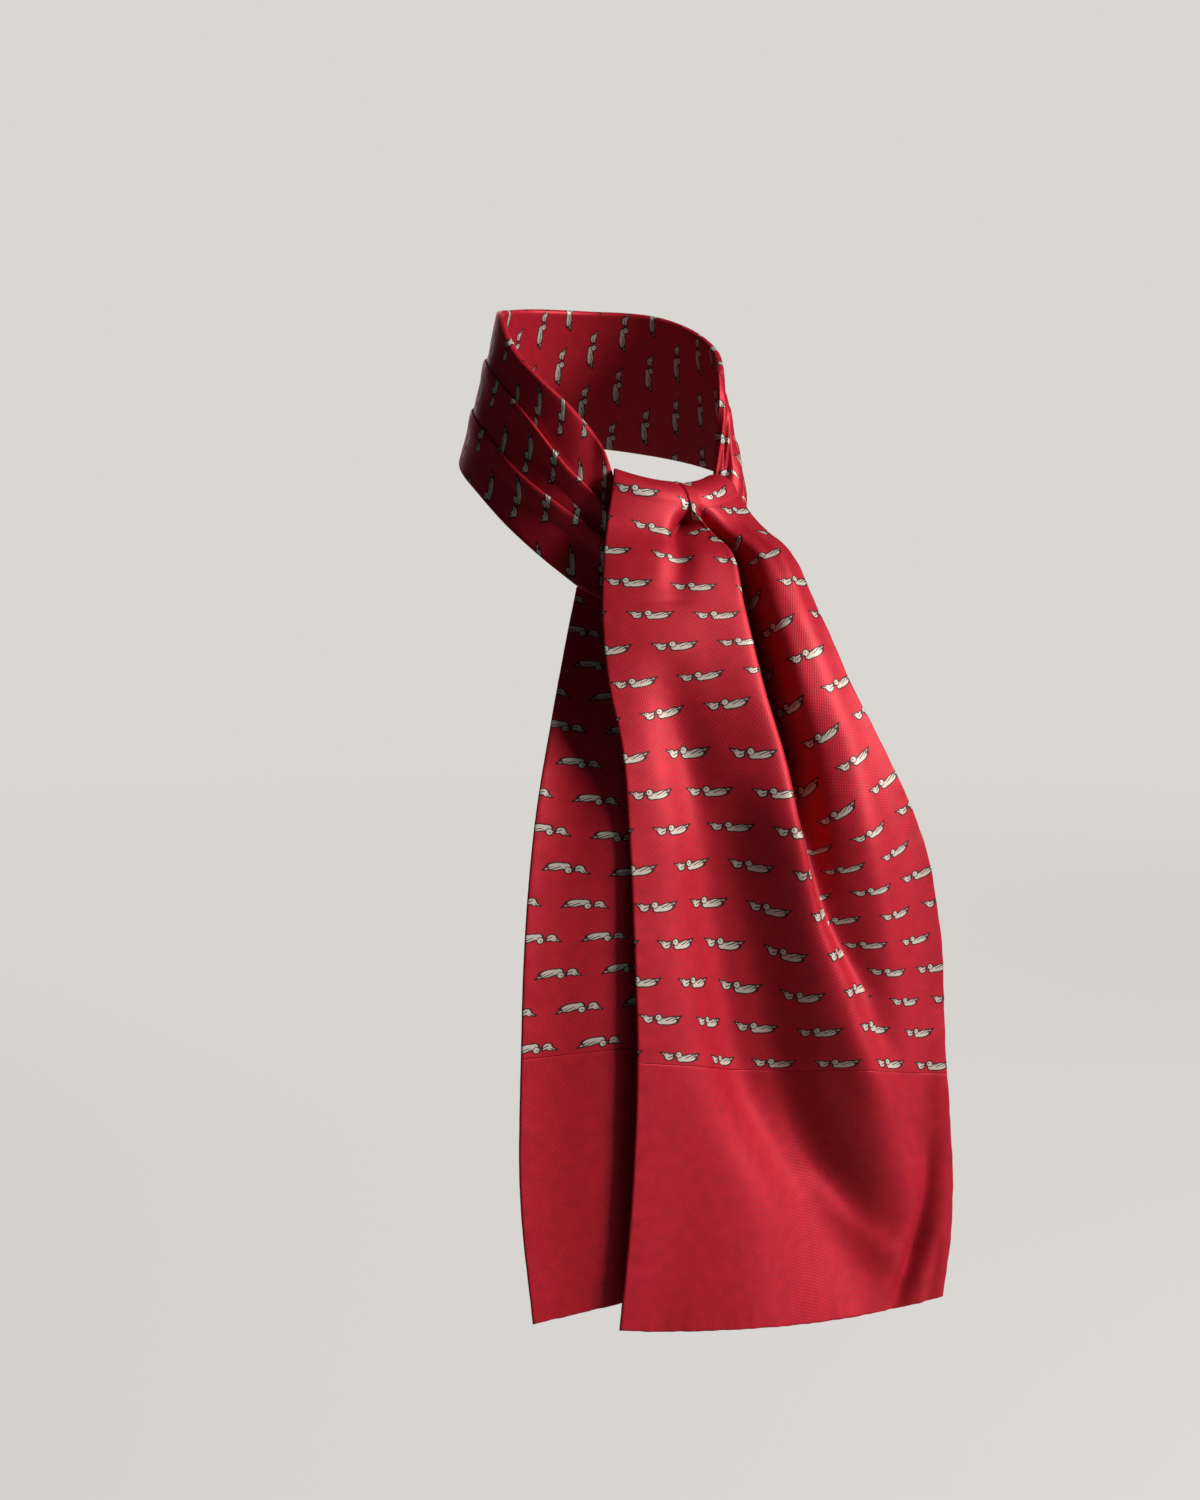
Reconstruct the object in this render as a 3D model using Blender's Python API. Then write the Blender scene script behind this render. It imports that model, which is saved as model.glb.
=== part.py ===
"""Cravat of printed silk twill, tied once at the throat and worn.

The pleated neck band runs round the nape. Its right end crosses over the left
one at the throat, turns back behind it, comes up next to the neck and falls
forward as the front blade. The left end hangs under it as the under blade.
Both blades end in a plain panel that is sewn on below the print.

Metres, +Z up. The wearer faces -Y, and the wearer's left is +X. The origin is
the middle of the neck opening at the height of the throat. Angles round the
neck are in degrees, 0 at the throat, growing towards the wearer's right side
(-X), 180 at the nape.
"""

from typing import NamedTuple

import bmesh
import bpy
import numpy as np

BAND_WALL = 0.0022
BLADE_WALL = 0.0018
SEAM_GAP = 0.0003
LAP_RISE = 0.0016
NECK_LEAN = np.tan(np.radians(19.5))
LEAN_START = 0.010
FOLD_LIFT = 1.1

ROOT_RADIUS = 0.0612
ROOT_END = -0.0397
ROOT_SPREAD = 0.82
FRONT_SEAM_DROP = 0.2845
FRONT_LENGTH = 0.4185
UNDER_SEAM_DROP = 0.2250
UNDER_LENGTH = 0.3640

BAND_STEPS = 57
LEFT_STEPS = 25
LEFT_STEPS_ACROSS = 15
CROSSING_STEPS = 41
CROSSING_STEPS_ACROSS = 6
ROOT_FALL_STEPS = 3
ROOT_TURN_STEPS = 7
FRONT_STEPS_ACROSS = 47
FRONT_PRINT_STEPS = 27
FRONT_PLAIN_STEPS = 9
CROWD_SAMPLES = 2001
CROWD_PLACE = 0.59
CROWD_WIDTH = 0.13
CROWD_GAIN = 1.6
UNDER_STEPS_ACROSS = 21
UNDER_PRINT_STEPS = 14
UNDER_PLAIN_STEPS = 8

SILK_COLOUR = (0.39, 0.012, 0.026, 1.0)
SILK_ROUGHNESS = 0.42
SHARP_FROM = np.radians(40)


class PleatPoint(NamedTuple):
    """A point of one lapped pleat: its place down the pleat and its share of the rise."""

    place: float
    rise: float


PLEAT_PROFILE = (
    PleatPoint(0.00, 0.55),
    PleatPoint(0.06, 1.0),
    PleatPoint(0.50, 0.62),
    PleatPoint(0.97, 0.0),
)


class BandSection(NamedTuple):
    """One section of the neck band, from its upper to its lower edge."""

    angle: float
    top_radius: float
    top_height: float
    bottom_radius: float
    bottom_height: float
    upper_lap: float
    lower_lap: float


BAND_SECTIONS = (
    BandSection(12.0, 0.0680, -0.006, 0.0830, -0.066, 0.36, 0.58),
    BandSection(16.0, 0.0680, 0.001, 0.0830, -0.063, 0.36, 0.58),
    BandSection(20.0, 0.0660, 0.0125, 0.0830, -0.060, 0.36, 0.58),
    BandSection(27.0, 0.0610, 0.0235, 0.0825, -0.055, 0.36, 0.58),
    BandSection(36.0, 0.0595, 0.033, 0.0815, -0.046, 0.36, 0.60),
    BandSection(57.0, 0.0595, 0.050, 0.0790, -0.025, 0.29, 0.62),
    BandSection(75.0, 0.0605, 0.063, 0.0780, -0.008, 0.26, 0.62),
    BandSection(100.0, 0.0625, 0.083, 0.0770, 0.006, 0.30, 0.64),
    BandSection(135.0, 0.0630, 0.090, 0.0765, 0.014, 0.33, 0.66),
    BandSection(180.0, 0.0610, 0.092, 0.0760, 0.020, 0.33, 0.66),
    BandSection(225.0, 0.0595, 0.088, 0.0765, 0.014, 0.33, 0.66),
    BandSection(262.0, 0.0580, 0.073, 0.0780, 0.004, 0.32, 0.64),
    BandSection(291.8, 0.0562, 0.057, 0.0800, -0.007, 0.34, 0.62),
)


class StretchSection(NamedTuple):
    """One section of a wound stretch: its two edges, each on the ring round the neck."""

    top_angle: float
    top_radius: float
    top_height: float
    bottom_angle: float
    bottom_radius: float
    bottom_height: float
    crumple: float


LEFT_SECTIONS = (
    StretchSection(-67.9, 0.0562, 0.057, -67.9, 0.0800, -0.007, 0.0012),
    StretchSection(-57.0, 0.0590, 0.040, -58.0, 0.0800, -0.019, 0.0028),
    StretchSection(-49.0, 0.0620, 0.016, -49.0, 0.0790, -0.033, 0.0024),
    StretchSection(-40.0, 0.0670, -0.013, -39.0, 0.0765, -0.046, 0.0010),
    StretchSection(-22.0, 0.0680, -0.021, -28.0, 0.0755, -0.056, 0.0008),
    StretchSection(0.0, 0.0688, -0.027, -18.0, 0.0760, -0.062, 0.0008),
    StretchSection(18.0, 0.0700, -0.038, -13.0, 0.0765, -0.067, 0.0008),
    StretchSection(31.0, 0.0720, -0.053, -11.0, 0.0775, -0.071, 0.0008),
)

CROSSING_SECTIONS = (
    StretchSection(11.8, 0.0680, -0.006, 11.8, 0.0830, -0.066, 0.0),
    StretchSection(0.0, 0.0725, -0.013, 0.0, 0.0825, -0.066, 0.0),
    StretchSection(-14.0, 0.0745, -0.016, -14.0, 0.0815, -0.066, 0.0),
    StretchSection(-28.0, 0.0770, -0.022, -28.0, 0.0805, -0.066, 0.0),
    StretchSection(-40.0, 0.0800, -0.036, -40.0, 0.0805, -0.067, 0.0),
    StretchSection(-47.5, 0.0775, -0.052, -47.5, 0.0775, -0.074, 0.0),
    StretchSection(-49.5, 0.0710, -0.054, -49.5, 0.0710, -0.076, 0.0),
    StretchSection(-46.0, 0.0640, -0.051, -46.0, 0.0640, -0.074, 0.0),
    StretchSection(-36.0, 0.0612, -0.0415, -36.0, 0.0612, -0.068, 0.0),
    StretchSection(-15.0, 0.0612, -0.040, -15.0, 0.0612, -0.066, 0.0),
    StretchSection(12.0, 0.0612, -0.040, 12.0, 0.0612, -0.064, 0.0),
)


class BladeSection(NamedTuple):
    """One row of a blade, from its edge at the wearer's right to the other edge."""

    drop: float
    right_x: float
    right_y: float
    right_z: float
    left_x: float
    left_y: float
    left_z: float
    bulge: float
    sag: float


FRONT_SECTIONS = (
    BladeSection(0.000, -0.0250, -0.0780, -0.004, 0.0520, -0.0640, -0.007, 0.015, 0.008),
    BladeSection(0.018, -0.0307, -0.0855, -0.021, 0.0578, -0.0774, -0.0218, 0.0105, 0.004),
    BladeSection(0.036, -0.0366, -0.0955, -0.0375, 0.0656, -0.0956, -0.0346, 0.0110, 0.000),
    BladeSection(0.060, -0.0421, -0.1070, -0.0607, 0.0718, -0.1132, -0.0607, 0.0105, 0.000),
    BladeSection(0.100, -0.0444, -0.1220, -0.0985, 0.0859, -0.1319, -0.1059, 0.0085, 0.000),
    BladeSection(0.130, -0.0414, -0.1310, -0.1273, 0.1017, -0.1404, -0.1403, 0.0045, 0.000),
    BladeSection(0.171, -0.0406, -0.1380, -0.1673, 0.1206, -0.1437, -0.1833, 0.0040, 0.000),
    BladeSection(0.212, -0.0400, -0.1420, -0.2078, 0.1320, -0.1419, -0.2292, 0.0030, 0.000),
    BladeSection(0.2845, -0.0390, -0.1455, -0.280, 0.1416, -0.1328, -0.3091, 0.0030, 0.000),
    BladeSection(0.350, -0.0415, -0.1455, -0.347, 0.1505, -0.1234, -0.3753, 0.0060, 0.001),
    BladeSection(0.4185, -0.0475, -0.1455, -0.415, 0.1495, -0.1210, -0.438, 0.011, 0.002),
)

UNDER_SECTIONS = (
    BladeSection(0.000, -0.0375, -0.0614, -0.0530, 0.0148, -0.0760, -0.0709, 0.003, 0.000),
    BladeSection(0.030, -0.0507, -0.0780, -0.0834, 0.0330, -0.0840, -0.095, 0.006, 0.000),
    BladeSection(0.062, -0.0636, -0.0950, -0.1141, 0.0520, -0.0900, -0.122, 0.007, 0.000),
    BladeSection(0.112, -0.0797, -0.1140, -0.1612, 0.0740, -0.0920, -0.166, 0.006, 0.000),
    BladeSection(0.170, -0.0892, -0.1240, -0.2181, 0.0880, -0.0920, -0.2205, 0.004, 0.000),
    BladeSection(0.2250, -0.0926, -0.1270, -0.2775, 0.0930, -0.0930, -0.2830, 0.002, 0.000),
    BladeSection(0.300, -0.0939, -0.1290, -0.3485, 0.0950, -0.0940, -0.3500, 0.001, 0.000),
    BladeSection(0.3640, -0.0881, -0.1300, -0.4115, 0.0980, -0.0970, -0.4080, 0.001, 0.000),
)


class FoldKey(NamedTuple):
    """A fold at one drop: its place across the blade, half width, height and lean."""

    drop: float
    place: float
    width: float
    height: float
    lean: float


FRONT_FOLDS = {
    "lap": (
        FoldKey(0.000, 0.46, 0.055, 0.000, 0.001),
        FoldKey(0.018, 0.54, 0.072, 0.001, 0.004),
        FoldKey(0.036, 0.555, 0.078, 0.001, 0.006),
        FoldKey(0.060, 0.53, 0.080, 0.002, 0.0065),
        FoldKey(0.100, 0.495, 0.080, 0.005, 0.0075),
        FoldKey(0.130, 0.475, 0.080, 0.008, 0.008),
        FoldKey(0.171, 0.46, 0.078, 0.012, 0.007),
        FoldKey(0.212, 0.51, 0.078, 0.010, 0.005),
        FoldKey(0.250, 0.60, 0.095, 0.012, 0.003),
        FoldKey(0.2845, 0.69, 0.098, 0.0145, 0.000),
        FoldKey(0.320, 0.75, 0.110, 0.011, 0.000),
        FoldKey(0.350, 0.82, 0.120, 0.008, 0.000),
        FoldKey(0.4185, 0.90, 0.100, 0.002, 0.000),
    ),
    "tuck": (
        FoldKey(0.000, 0.62, 0.060, -0.001, 0.000),
        FoldKey(0.018, 0.67, 0.060, -0.009, 0.000),
        FoldKey(0.036, 0.69, 0.061, -0.023, 0.000),
        FoldKey(0.060, 0.68, 0.058, -0.031, 0.000),
        FoldKey(0.100, 0.655, 0.058, -0.030, 0.000),
        FoldKey(0.130, 0.63, 0.056, -0.023, 0.000),
        FoldKey(0.171, 0.595, 0.052, -0.011, 0.000),
        FoldKey(0.212, 0.61, 0.052, -0.004, 0.000),
        FoldKey(0.250, 0.72, 0.055, 0.000, 0.000),
    ),
    "left_ridge": (
        FoldKey(0.006, 0.90, 0.070, 0.000, 0.000),
        FoldKey(0.036, 0.89, 0.070, 0.004, 0.000),
        FoldKey(0.100, 0.87, 0.080, 0.003, 0.000),
        FoldKey(0.130, 0.83, 0.085, 0.004, 0.000),
        FoldKey(0.171, 0.77, 0.100, 0.008, 0.000),
        FoldKey(0.212, 0.77, 0.105, 0.009, 0.000),
        FoldKey(0.2845, 0.83, 0.080, 0.006, 0.000),
        FoldKey(0.330, 0.85, 0.090, 0.000, 0.000),
    ),
    "throat_dent": (
        FoldKey(0.000, 0.46, 0.050, 0.000, 0.000),
        FoldKey(0.014, 0.44, 0.060, -0.006, 0.000),
        FoldKey(0.036, 0.36, 0.065, -0.004, 0.000),
        FoldKey(0.065, 0.30, 0.070, 0.000, 0.000),
    ),
    "long_valley": (
        FoldKey(0.080, 0.24, 0.095, 0.000, 0.000),
        FoldKey(0.130, 0.24, 0.095, -0.007, 0.000),
        FoldKey(0.171, 0.26, 0.100, -0.010, 0.000),
        FoldKey(0.212, 0.29, 0.120, -0.014, 0.000),
        FoldKey(0.250, 0.32, 0.115, -0.017, 0.000),
        FoldKey(0.2845, 0.36, 0.115, -0.018, 0.000),
        FoldKey(0.320, 0.45, 0.130, -0.014, 0.000),
        FoldKey(0.350, 0.56, 0.140, -0.010, 0.000),
        FoldKey(0.385, 0.65, 0.140, -0.006, 0.000),
        FoldKey(0.4185, 0.70, 0.120, -0.001, 0.000),
    ),
    "hem_groove": (
        FoldKey(0.320, 0.92, 0.040, 0.000, 0.000),
        FoldKey(0.385, 0.88, 0.040, -0.005, 0.000),
        FoldKey(0.4185, 0.82, 0.045, -0.004, 0.000),
    ),
}

UNDER_FOLDS = {
    "edge_roll": (
        FoldKey(0.000, 0.34, 0.120, 0.000, 0.000),
        FoldKey(0.030, 0.34, 0.130, 0.006, 0.000),
        FoldKey(0.062, 0.32, 0.145, 0.016, 0.000),
        FoldKey(0.112, 0.30, 0.170, 0.018, 0.000),
        FoldKey(0.170, 0.30, 0.190, 0.016, 0.000),
        FoldKey(0.225, 0.30, 0.190, 0.016, 0.000),
        FoldKey(0.364, 0.28, 0.180, 0.013, 0.000),
    ),
    "hidden_valley": (
        FoldKey(0.030, 0.60, 0.120, 0.000, 0.000),
        FoldKey(0.160, 0.62, 0.130, -0.004, 0.000),
        FoldKey(0.364, 0.60, 0.130, -0.003, 0.000),
    ),
}

LEFT_FOLDS = {
    "inner_crumple": (FoldKey(0.0, 0.22, 0.130, 1.0, 0.0), FoldKey(1.0, 0.24, 0.130, 0.8, 0.0)),
    "outer_crumple": (FoldKey(0.0, 0.66, 0.140, 0.9, 0.0), FoldKey(1.0, 0.66, 0.140, 0.7, 0.0)),
}


def through(stations, values, at):
    """Smooth curve through values given at rising stations, read at the places in at."""
    stations = np.asarray(stations, float)
    values = np.asarray(values, float)
    at = np.clip(np.asarray(at, float), stations[0], stations[-1])
    slopes = np.gradient(values, stations, edge_order=1)
    low = np.clip(np.searchsorted(stations, at, side="right") - 1, 0, len(stations) - 2)
    span = stations[low + 1] - stations[low]
    u = (at - stations[low]) / span
    start = (1 + 2 * u) * (1 - u) ** 2 * values[low] + u * (1 - u) ** 2 * span * slopes[low]
    end = u**2 * (3 - 2 * u) * values[low + 1] + u**2 * (u - 1) * span * slopes[low + 1]
    return start + end


def column(table, name, at):
    """One column of a table of sections or fold keys, read along its first column."""
    return through([row[0] for row in table], [getattr(row, name) for row in table], at)


def ring_point(angle, radius, height):
    """Place on the ring round the leaning neck."""
    turn = np.radians(angle)
    lean = NECK_LEAN * 0.5 * (height + np.sqrt(height**2 + LEAN_START**2) - LEAN_START)
    return np.stack([-radius * np.sin(turn), -lean - radius * np.cos(turn), height + 0 * radius], -1)


def fold_shift(folds, across, drop):
    """Height and sideways lean that a blade's folds add, on the grid drop by across."""
    height = np.zeros((len(drop), len(across)))
    lean = np.zeros_like(height)
    for keys in folds.values():
        inside = (drop >= keys[0].drop) & (drop <= keys[-1].drop)
        place = column(keys, "place", drop)[:, None]
        width = column(keys, "width", drop)[:, None]
        shape = np.exp(-(((across[None, :] - place) / width) ** 2)) * inside[:, None]
        height += column(keys, "height", drop)[:, None] * shape
        lean += column(keys, "lean", drop)[:, None] * shape
    return height, lean


def blade_face(sections, folds, across, drop):
    """Outer face of a blade as points on the grid drop by across.

    A fold that stands proud takes up length, so it also lifts the cloth by
    FOLD_LIFT times the drop, and a valley hangs lower.
    """
    right = np.stack([column(sections, "right_" + axis, drop) for axis in "xyz"], -1)
    left = np.stack([column(sections, "left_" + axis, drop) for axis in "xyz"], -1)
    share = across[None, :, None]
    face = right[:, None, :] * (1 - share) + left[:, None, :] * share
    bow = 4 * across * (1 - across)
    height, lean = fold_shift(folds, across, drop)
    face[..., 1] -= column(sections, "bulge", drop)[:, None] * bow[None, :] + height
    face[..., 0] += lean
    face[..., 2] -= column(sections, "sag", drop)[:, None] * bow[None, :]
    face[..., 2] += FOLD_LIFT * drop[:, None] * height
    return face


def upright_ring_point(angle, radius, height):
    """Place on an upright ring round the throat."""
    turn = np.radians(angle)
    return np.stack([-radius * np.sin(turn), -radius * np.cos(turn), height], -1)


def rolled_root(top_row):
    """Root of the front blade: up next to the neck, then over the crossing in a half turn."""
    angle = np.degrees(np.arctan2(-top_row[:, 0], -top_row[:, 1]))
    radius = np.hypot(top_row[:, 0], top_row[:, 1])
    half = 0.5 * (radius - ROOT_RADIUS)
    rows = []
    for share in np.linspace(0, 1, ROOT_FALL_STEPS, endpoint=False):
        height = ROOT_END * (1 - share) + top_row[:, 2] * share
        rows.append(upright_ring_point(angle * ROOT_SPREAD, ROOT_RADIUS + 0 * radius, height))
    for turn in np.linspace(np.pi, 0, ROOT_TURN_STEPS, endpoint=False):
        spread = 1 - (1 - ROOT_SPREAD) * turn / np.pi
        height = top_row[:, 2] + half * np.sin(turn)
        rows.append(upright_ring_point(angle * spread, ROOT_RADIUS + half * (1 + np.cos(turn)), height))
    return np.stack(rows)


def face_normals(face):
    """Unit normals of a grid of points, facing away from the wearer at the front.

    Rows can lie closer together at a seam, so slopes down the rows are taken
    over the mean distance walked between them.
    """
    steps = np.linalg.norm(np.diff(face, axis=0), axis=-1).mean(axis=1)
    down = np.concatenate([[0.0], np.cumsum(steps)])
    normal = np.cross(np.gradient(face, down, axis=0), np.gradient(face, axis=1))
    return normal / np.linalg.norm(normal, axis=-1, keepdims=True)


def square_row(normals, row, angle):
    """Turn one row of normals into the upright plane through the neck at an angle."""
    turn = np.radians(angle)
    along = np.array([-np.cos(turn), np.sin(turn), 0.0])
    flat = normals[row] - (normals[row] @ along)[:, None] * along
    normals[row] = flat / np.linalg.norm(flat, axis=-1, keepdims=True)


def closed_wall(outer, inner):
    """Points and faces of one closed body between two grids of the same size."""
    rows, columns = outer.shape[:2]
    points = np.concatenate([outer.reshape(-1, 3), inner.reshape(-1, 3)])
    index = np.arange(rows * columns).reshape(rows, columns)
    quads = np.stack([index[:-1, :-1], index[:-1, 1:], index[1:, 1:], index[1:, :-1]], -1).reshape(-1, 4)
    rim = np.concatenate([index[0, :-1], index[:-1, -1], index[-1, :0:-1], index[:0:-1, 0]])
    ahead = np.roll(rim, -1)
    edge = np.stack([ahead, rim, rim + rows * columns, ahead + rows * columns], -1)
    return points, np.concatenate([quads, quads[:, ::-1] + rows * columns, edge])


def silk(name):
    """Material of one piece: red silk twill."""
    material = bpy.data.materials.new(name + "_silk")
    material.use_nodes = True
    shader = material.node_tree.nodes["Principled BSDF"]
    shader.inputs["Base Color"].default_value = SILK_COLOUR
    shader.inputs["Roughness"].default_value = SILK_ROUGHNESS
    shader.inputs["Metallic"].default_value = 0.0
    return material


def add_piece(name, outer, inner):
    """Make one closed piece of cloth from its outer and inner grids."""
    points, faces = closed_wall(outer, inner)
    mesh = bpy.data.meshes.new(name)
    mesh.from_pydata(points.tolist(), [], faces.tolist())
    mesh.validate()
    work = bmesh.new()
    work.from_mesh(mesh)
    bmesh.ops.triangulate(work, faces=work.faces[:])
    bmesh.ops.recalc_face_normals(work, faces=work.faces[:])
    work.to_mesh(mesh)
    work.free()
    mesh.shade_smooth()
    mesh.set_sharp_from_angle(angle=SHARP_FROM)
    mesh.materials.append(silk(name))
    piece = bpy.data.objects.new(name, mesh)
    bpy.context.scene.collection.objects.link(piece)
    return piece


def neck_band():
    """The pleated band round the nape: three pleats, each lapped up over the one above."""
    angle = np.linspace(BAND_SECTIONS[0].angle, BAND_SECTIONS[-1].angle, BAND_STEPS)
    read = {name: column(BAND_SECTIONS, name, angle) for name in BandSection._fields}
    top = ring_point(angle, read["top_radius"], read["top_height"])
    low = ring_point(angle, read["bottom_radius"], read["bottom_height"])
    edges = (0 * angle, read["upper_lap"], read["lower_lap"], 1 + 0 * angle)
    shares = []
    lifts = []
    for start, end in zip(edges[:-1], edges[1:]):
        for point in PLEAT_PROFILE:
            shares.append(start + (end - start) * point.place)
            lifts.append(LAP_RISE * point.rise)
    share = np.stack(shares, -1)[..., None]
    lift = np.array(lifts)[None, :, None]
    middle = top[:, None, :] * (1 - share) + low[:, None, :] * share
    normal = face_normals(middle)
    square_row(normal, 0, angle[0])
    square_row(normal, -1, angle[-1])
    return add_piece("neck_band", middle + normal * lift, middle - normal * BAND_WALL)


def wound_face(sections, folds, steps, across):
    """Outer face of a wound stretch, and the crumples that run along it."""
    place = np.linspace(0, len(sections) - 1, steps)
    rows = np.arange(len(sections))

    def read(name):
        return through(rows, [getattr(row, name) for row in sections], place)

    top = ring_point(read("top_angle"), read("top_radius"), read("top_height"))
    low = ring_point(read("bottom_angle"), read("bottom_radius"), read("bottom_height"))
    share = across[None, :, None]
    middle = top[:, None, :] * (1 - share) + low[:, None, :] * share
    height, _ = fold_shift(folds, across, place / (len(sections) - 1))
    crumple = read("crumple")[:, None] * height
    return middle + face_normals(middle) * crumple[..., None]


def left_stretch():
    """The band's left end, loosely crumpled, running down under the crossing."""
    across = np.linspace(0, 1, LEFT_STEPS_ACROSS)
    outer = wound_face(LEFT_SECTIONS, LEFT_FOLDS, LEFT_STEPS, across)
    normal = face_normals(outer)
    square_row(normal, 0, LEFT_SECTIONS[0].top_angle)
    return add_piece("left_stretch", outer, outer - normal * BLADE_WALL)


def crossing():
    """The band's right end, across the throat and back behind the left stretch."""
    across = np.linspace(0, 1, CROSSING_STEPS_ACROSS)
    outer = wound_face(CROSSING_SECTIONS, {}, CROSSING_STEPS, across)
    normal = -face_normals(outer)
    square_row(normal, 0, CROSSING_SECTIONS[0].top_angle)
    return add_piece("crossing", outer, outer - normal * BLADE_WALL)


def blade_wall(outer):
    """Inner face of a blade's wall."""
    return outer - face_normals(outer) * BLADE_WALL


def split_at_seam(outer, inner, drop, seam):
    """Rows above and rows below a seam."""
    above = drop < seam
    return (outer[above], inner[above]), (outer[~above], inner[~above])


def seam_rows(length, seam, rows_above, rows_below):
    """Drops of a blade's rows, with one row on each side of the seam gap."""
    above = np.linspace(0.0, seam - 0.5 * SEAM_GAP, rows_above)
    below = np.linspace(seam + 0.5 * SEAM_GAP, length, rows_below)
    return np.concatenate([above, below])


def crowded_stations(count):
    """Shares across the front blade, closer together where the lap folds back."""
    fine = np.linspace(0, 1, CROWD_SAMPLES)
    density = 1 + CROWD_GAIN * np.exp(-(((fine - CROWD_PLACE) / CROWD_WIDTH) ** 2))
    running = np.cumsum(density)
    running = (running - running[0]) / (running[-1] - running[0])
    return np.interp(np.linspace(0, 1, count), running, fine)


def front_pieces():
    """The front blade, from its root next to the neck, and its plain end."""
    across = crowded_stations(FRONT_STEPS_ACROSS)
    drop = seam_rows(FRONT_LENGTH, FRONT_SEAM_DROP, FRONT_PRINT_STEPS, FRONT_PLAIN_STEPS)
    face = blade_face(FRONT_SECTIONS, FRONT_FOLDS, across, drop)
    root = rolled_root(face[0])
    outer = np.concatenate([root, face])
    inner = blade_wall(outer)
    drop = np.concatenate([np.zeros(len(root)), drop])
    blade, tip = split_at_seam(outer, inner, drop, FRONT_SEAM_DROP)
    return add_piece("front_blade", *blade), add_piece("front_tip", *tip)


def under_pieces():
    """The under blade and its plain end."""
    across = np.linspace(0, 1, UNDER_STEPS_ACROSS)
    drop = seam_rows(UNDER_LENGTH, UNDER_SEAM_DROP, UNDER_PRINT_STEPS, UNDER_PLAIN_STEPS)
    outer = blade_face(UNDER_SECTIONS, UNDER_FOLDS, across, drop)
    inner = blade_wall(outer)
    blade, tip = split_at_seam(outer, inner, drop, UNDER_SEAM_DROP)
    return add_piece("under_blade", *blade), add_piece("under_tip", *tip)


def clear_scene():
    """Remove every object that the file opened with."""
    for item in list(bpy.data.objects):
        bpy.data.objects.remove(item, do_unlink=True)


def main():
    """Build the cravat."""
    clear_scene()
    neck_band()
    left_stretch()
    crossing()
    front_pieces()
    under_pieces()


main()
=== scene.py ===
"""Worn cravat of printed silk twill: cloth shells, finishes, light and camera.

Every piece is a thin closed shell on the form of its CAD solid. The tables of
sections and main folds are the ones of the cut; this script reads them on
finer grids, adds the small creases, and lays the cloth's own coordinates on
each surface so that print and twill follow the cloth. Metres, +Z up, the
wearer faces -Y.
"""

import logging
from dataclasses import dataclass, field
from enum import Enum
from typing import NamedTuple

import bpy
import numpy as np
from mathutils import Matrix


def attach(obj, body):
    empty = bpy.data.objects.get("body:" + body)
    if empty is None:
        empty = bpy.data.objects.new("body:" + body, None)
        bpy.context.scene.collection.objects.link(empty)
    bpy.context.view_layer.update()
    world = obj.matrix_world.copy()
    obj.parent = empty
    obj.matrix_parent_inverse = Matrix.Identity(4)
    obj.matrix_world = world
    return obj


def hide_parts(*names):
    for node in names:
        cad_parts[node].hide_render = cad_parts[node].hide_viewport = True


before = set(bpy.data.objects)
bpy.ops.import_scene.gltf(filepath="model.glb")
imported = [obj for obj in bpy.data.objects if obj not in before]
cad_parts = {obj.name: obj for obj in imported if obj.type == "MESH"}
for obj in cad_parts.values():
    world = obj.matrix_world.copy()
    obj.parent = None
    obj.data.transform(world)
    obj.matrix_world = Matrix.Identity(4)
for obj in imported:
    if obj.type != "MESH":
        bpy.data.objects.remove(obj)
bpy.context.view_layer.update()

LOG = logging.getLogger("cravat")

MM = 0.001
Grid = np.ndarray
Piece = bpy.types.Object
Tree = bpy.types.NodeTree
Socket = bpy.types.NodeSocket

BAND_WALL = 2.2 * MM
BLADE_WALL = 1.8 * MM
SEAM_LINE = 0.02 * MM
SEAM_RIM = 0.18 * MM
# Fold depths at which the painted shade in the tuck and the pinch is full.
TUCK_DEPTH = 24 * MM
PINCH_DEPTH = 5.5 * MM
FRONT_SEAM = 284.5 * MM
UNDER_SEAM = 225 * MM
NECK_LEAN = np.tan(np.radians(19.5))
LEAN_START = 10 * MM
FOLD_LIFT = 1.1


class BandSection(NamedTuple):
    """One section of the neck band, from its upper to its lower edge."""

    angle: float
    top_radius: float
    top_height: float
    bottom_radius: float
    bottom_height: float
    upper_lap: float
    lower_lap: float


BAND_SECTIONS = (
    BandSection(12.0, 0.0680, -0.006, 0.0830, -0.066, 0.36, 0.58),
    BandSection(16.0, 0.0680, 0.001, 0.0830, -0.063, 0.36, 0.58),
    BandSection(20.0, 0.0660, 0.0125, 0.0830, -0.060, 0.36, 0.58),
    BandSection(27.0, 0.0610, 0.0235, 0.0825, -0.055, 0.36, 0.58),
    BandSection(36.0, 0.0595, 0.033, 0.0815, -0.046, 0.36, 0.60),
    BandSection(57.0, 0.0595, 0.050, 0.0790, -0.025, 0.29, 0.62),
    BandSection(75.0, 0.0605, 0.063, 0.0780, -0.008, 0.26, 0.62),
    BandSection(100.0, 0.0625, 0.083, 0.0770, 0.006, 0.30, 0.64),
    BandSection(135.0, 0.0630, 0.090, 0.0765, 0.014, 0.33, 0.66),
    BandSection(180.0, 0.0610, 0.092, 0.0760, 0.020, 0.33, 0.66),
    BandSection(225.0, 0.0595, 0.088, 0.0765, 0.014, 0.33, 0.66),
    BandSection(262.0, 0.0580, 0.073, 0.0780, 0.004, 0.32, 0.64),
    BandSection(291.8, 0.0562, 0.057, 0.0800, -0.007, 0.34, 0.62),
)


class StretchSection(NamedTuple):
    """One section of a wound stretch: its two edges, each on the ring round the neck."""

    top_angle: float
    top_radius: float
    top_height: float
    bottom_angle: float
    bottom_radius: float
    bottom_height: float
    crumple: float = 0.0


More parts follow.
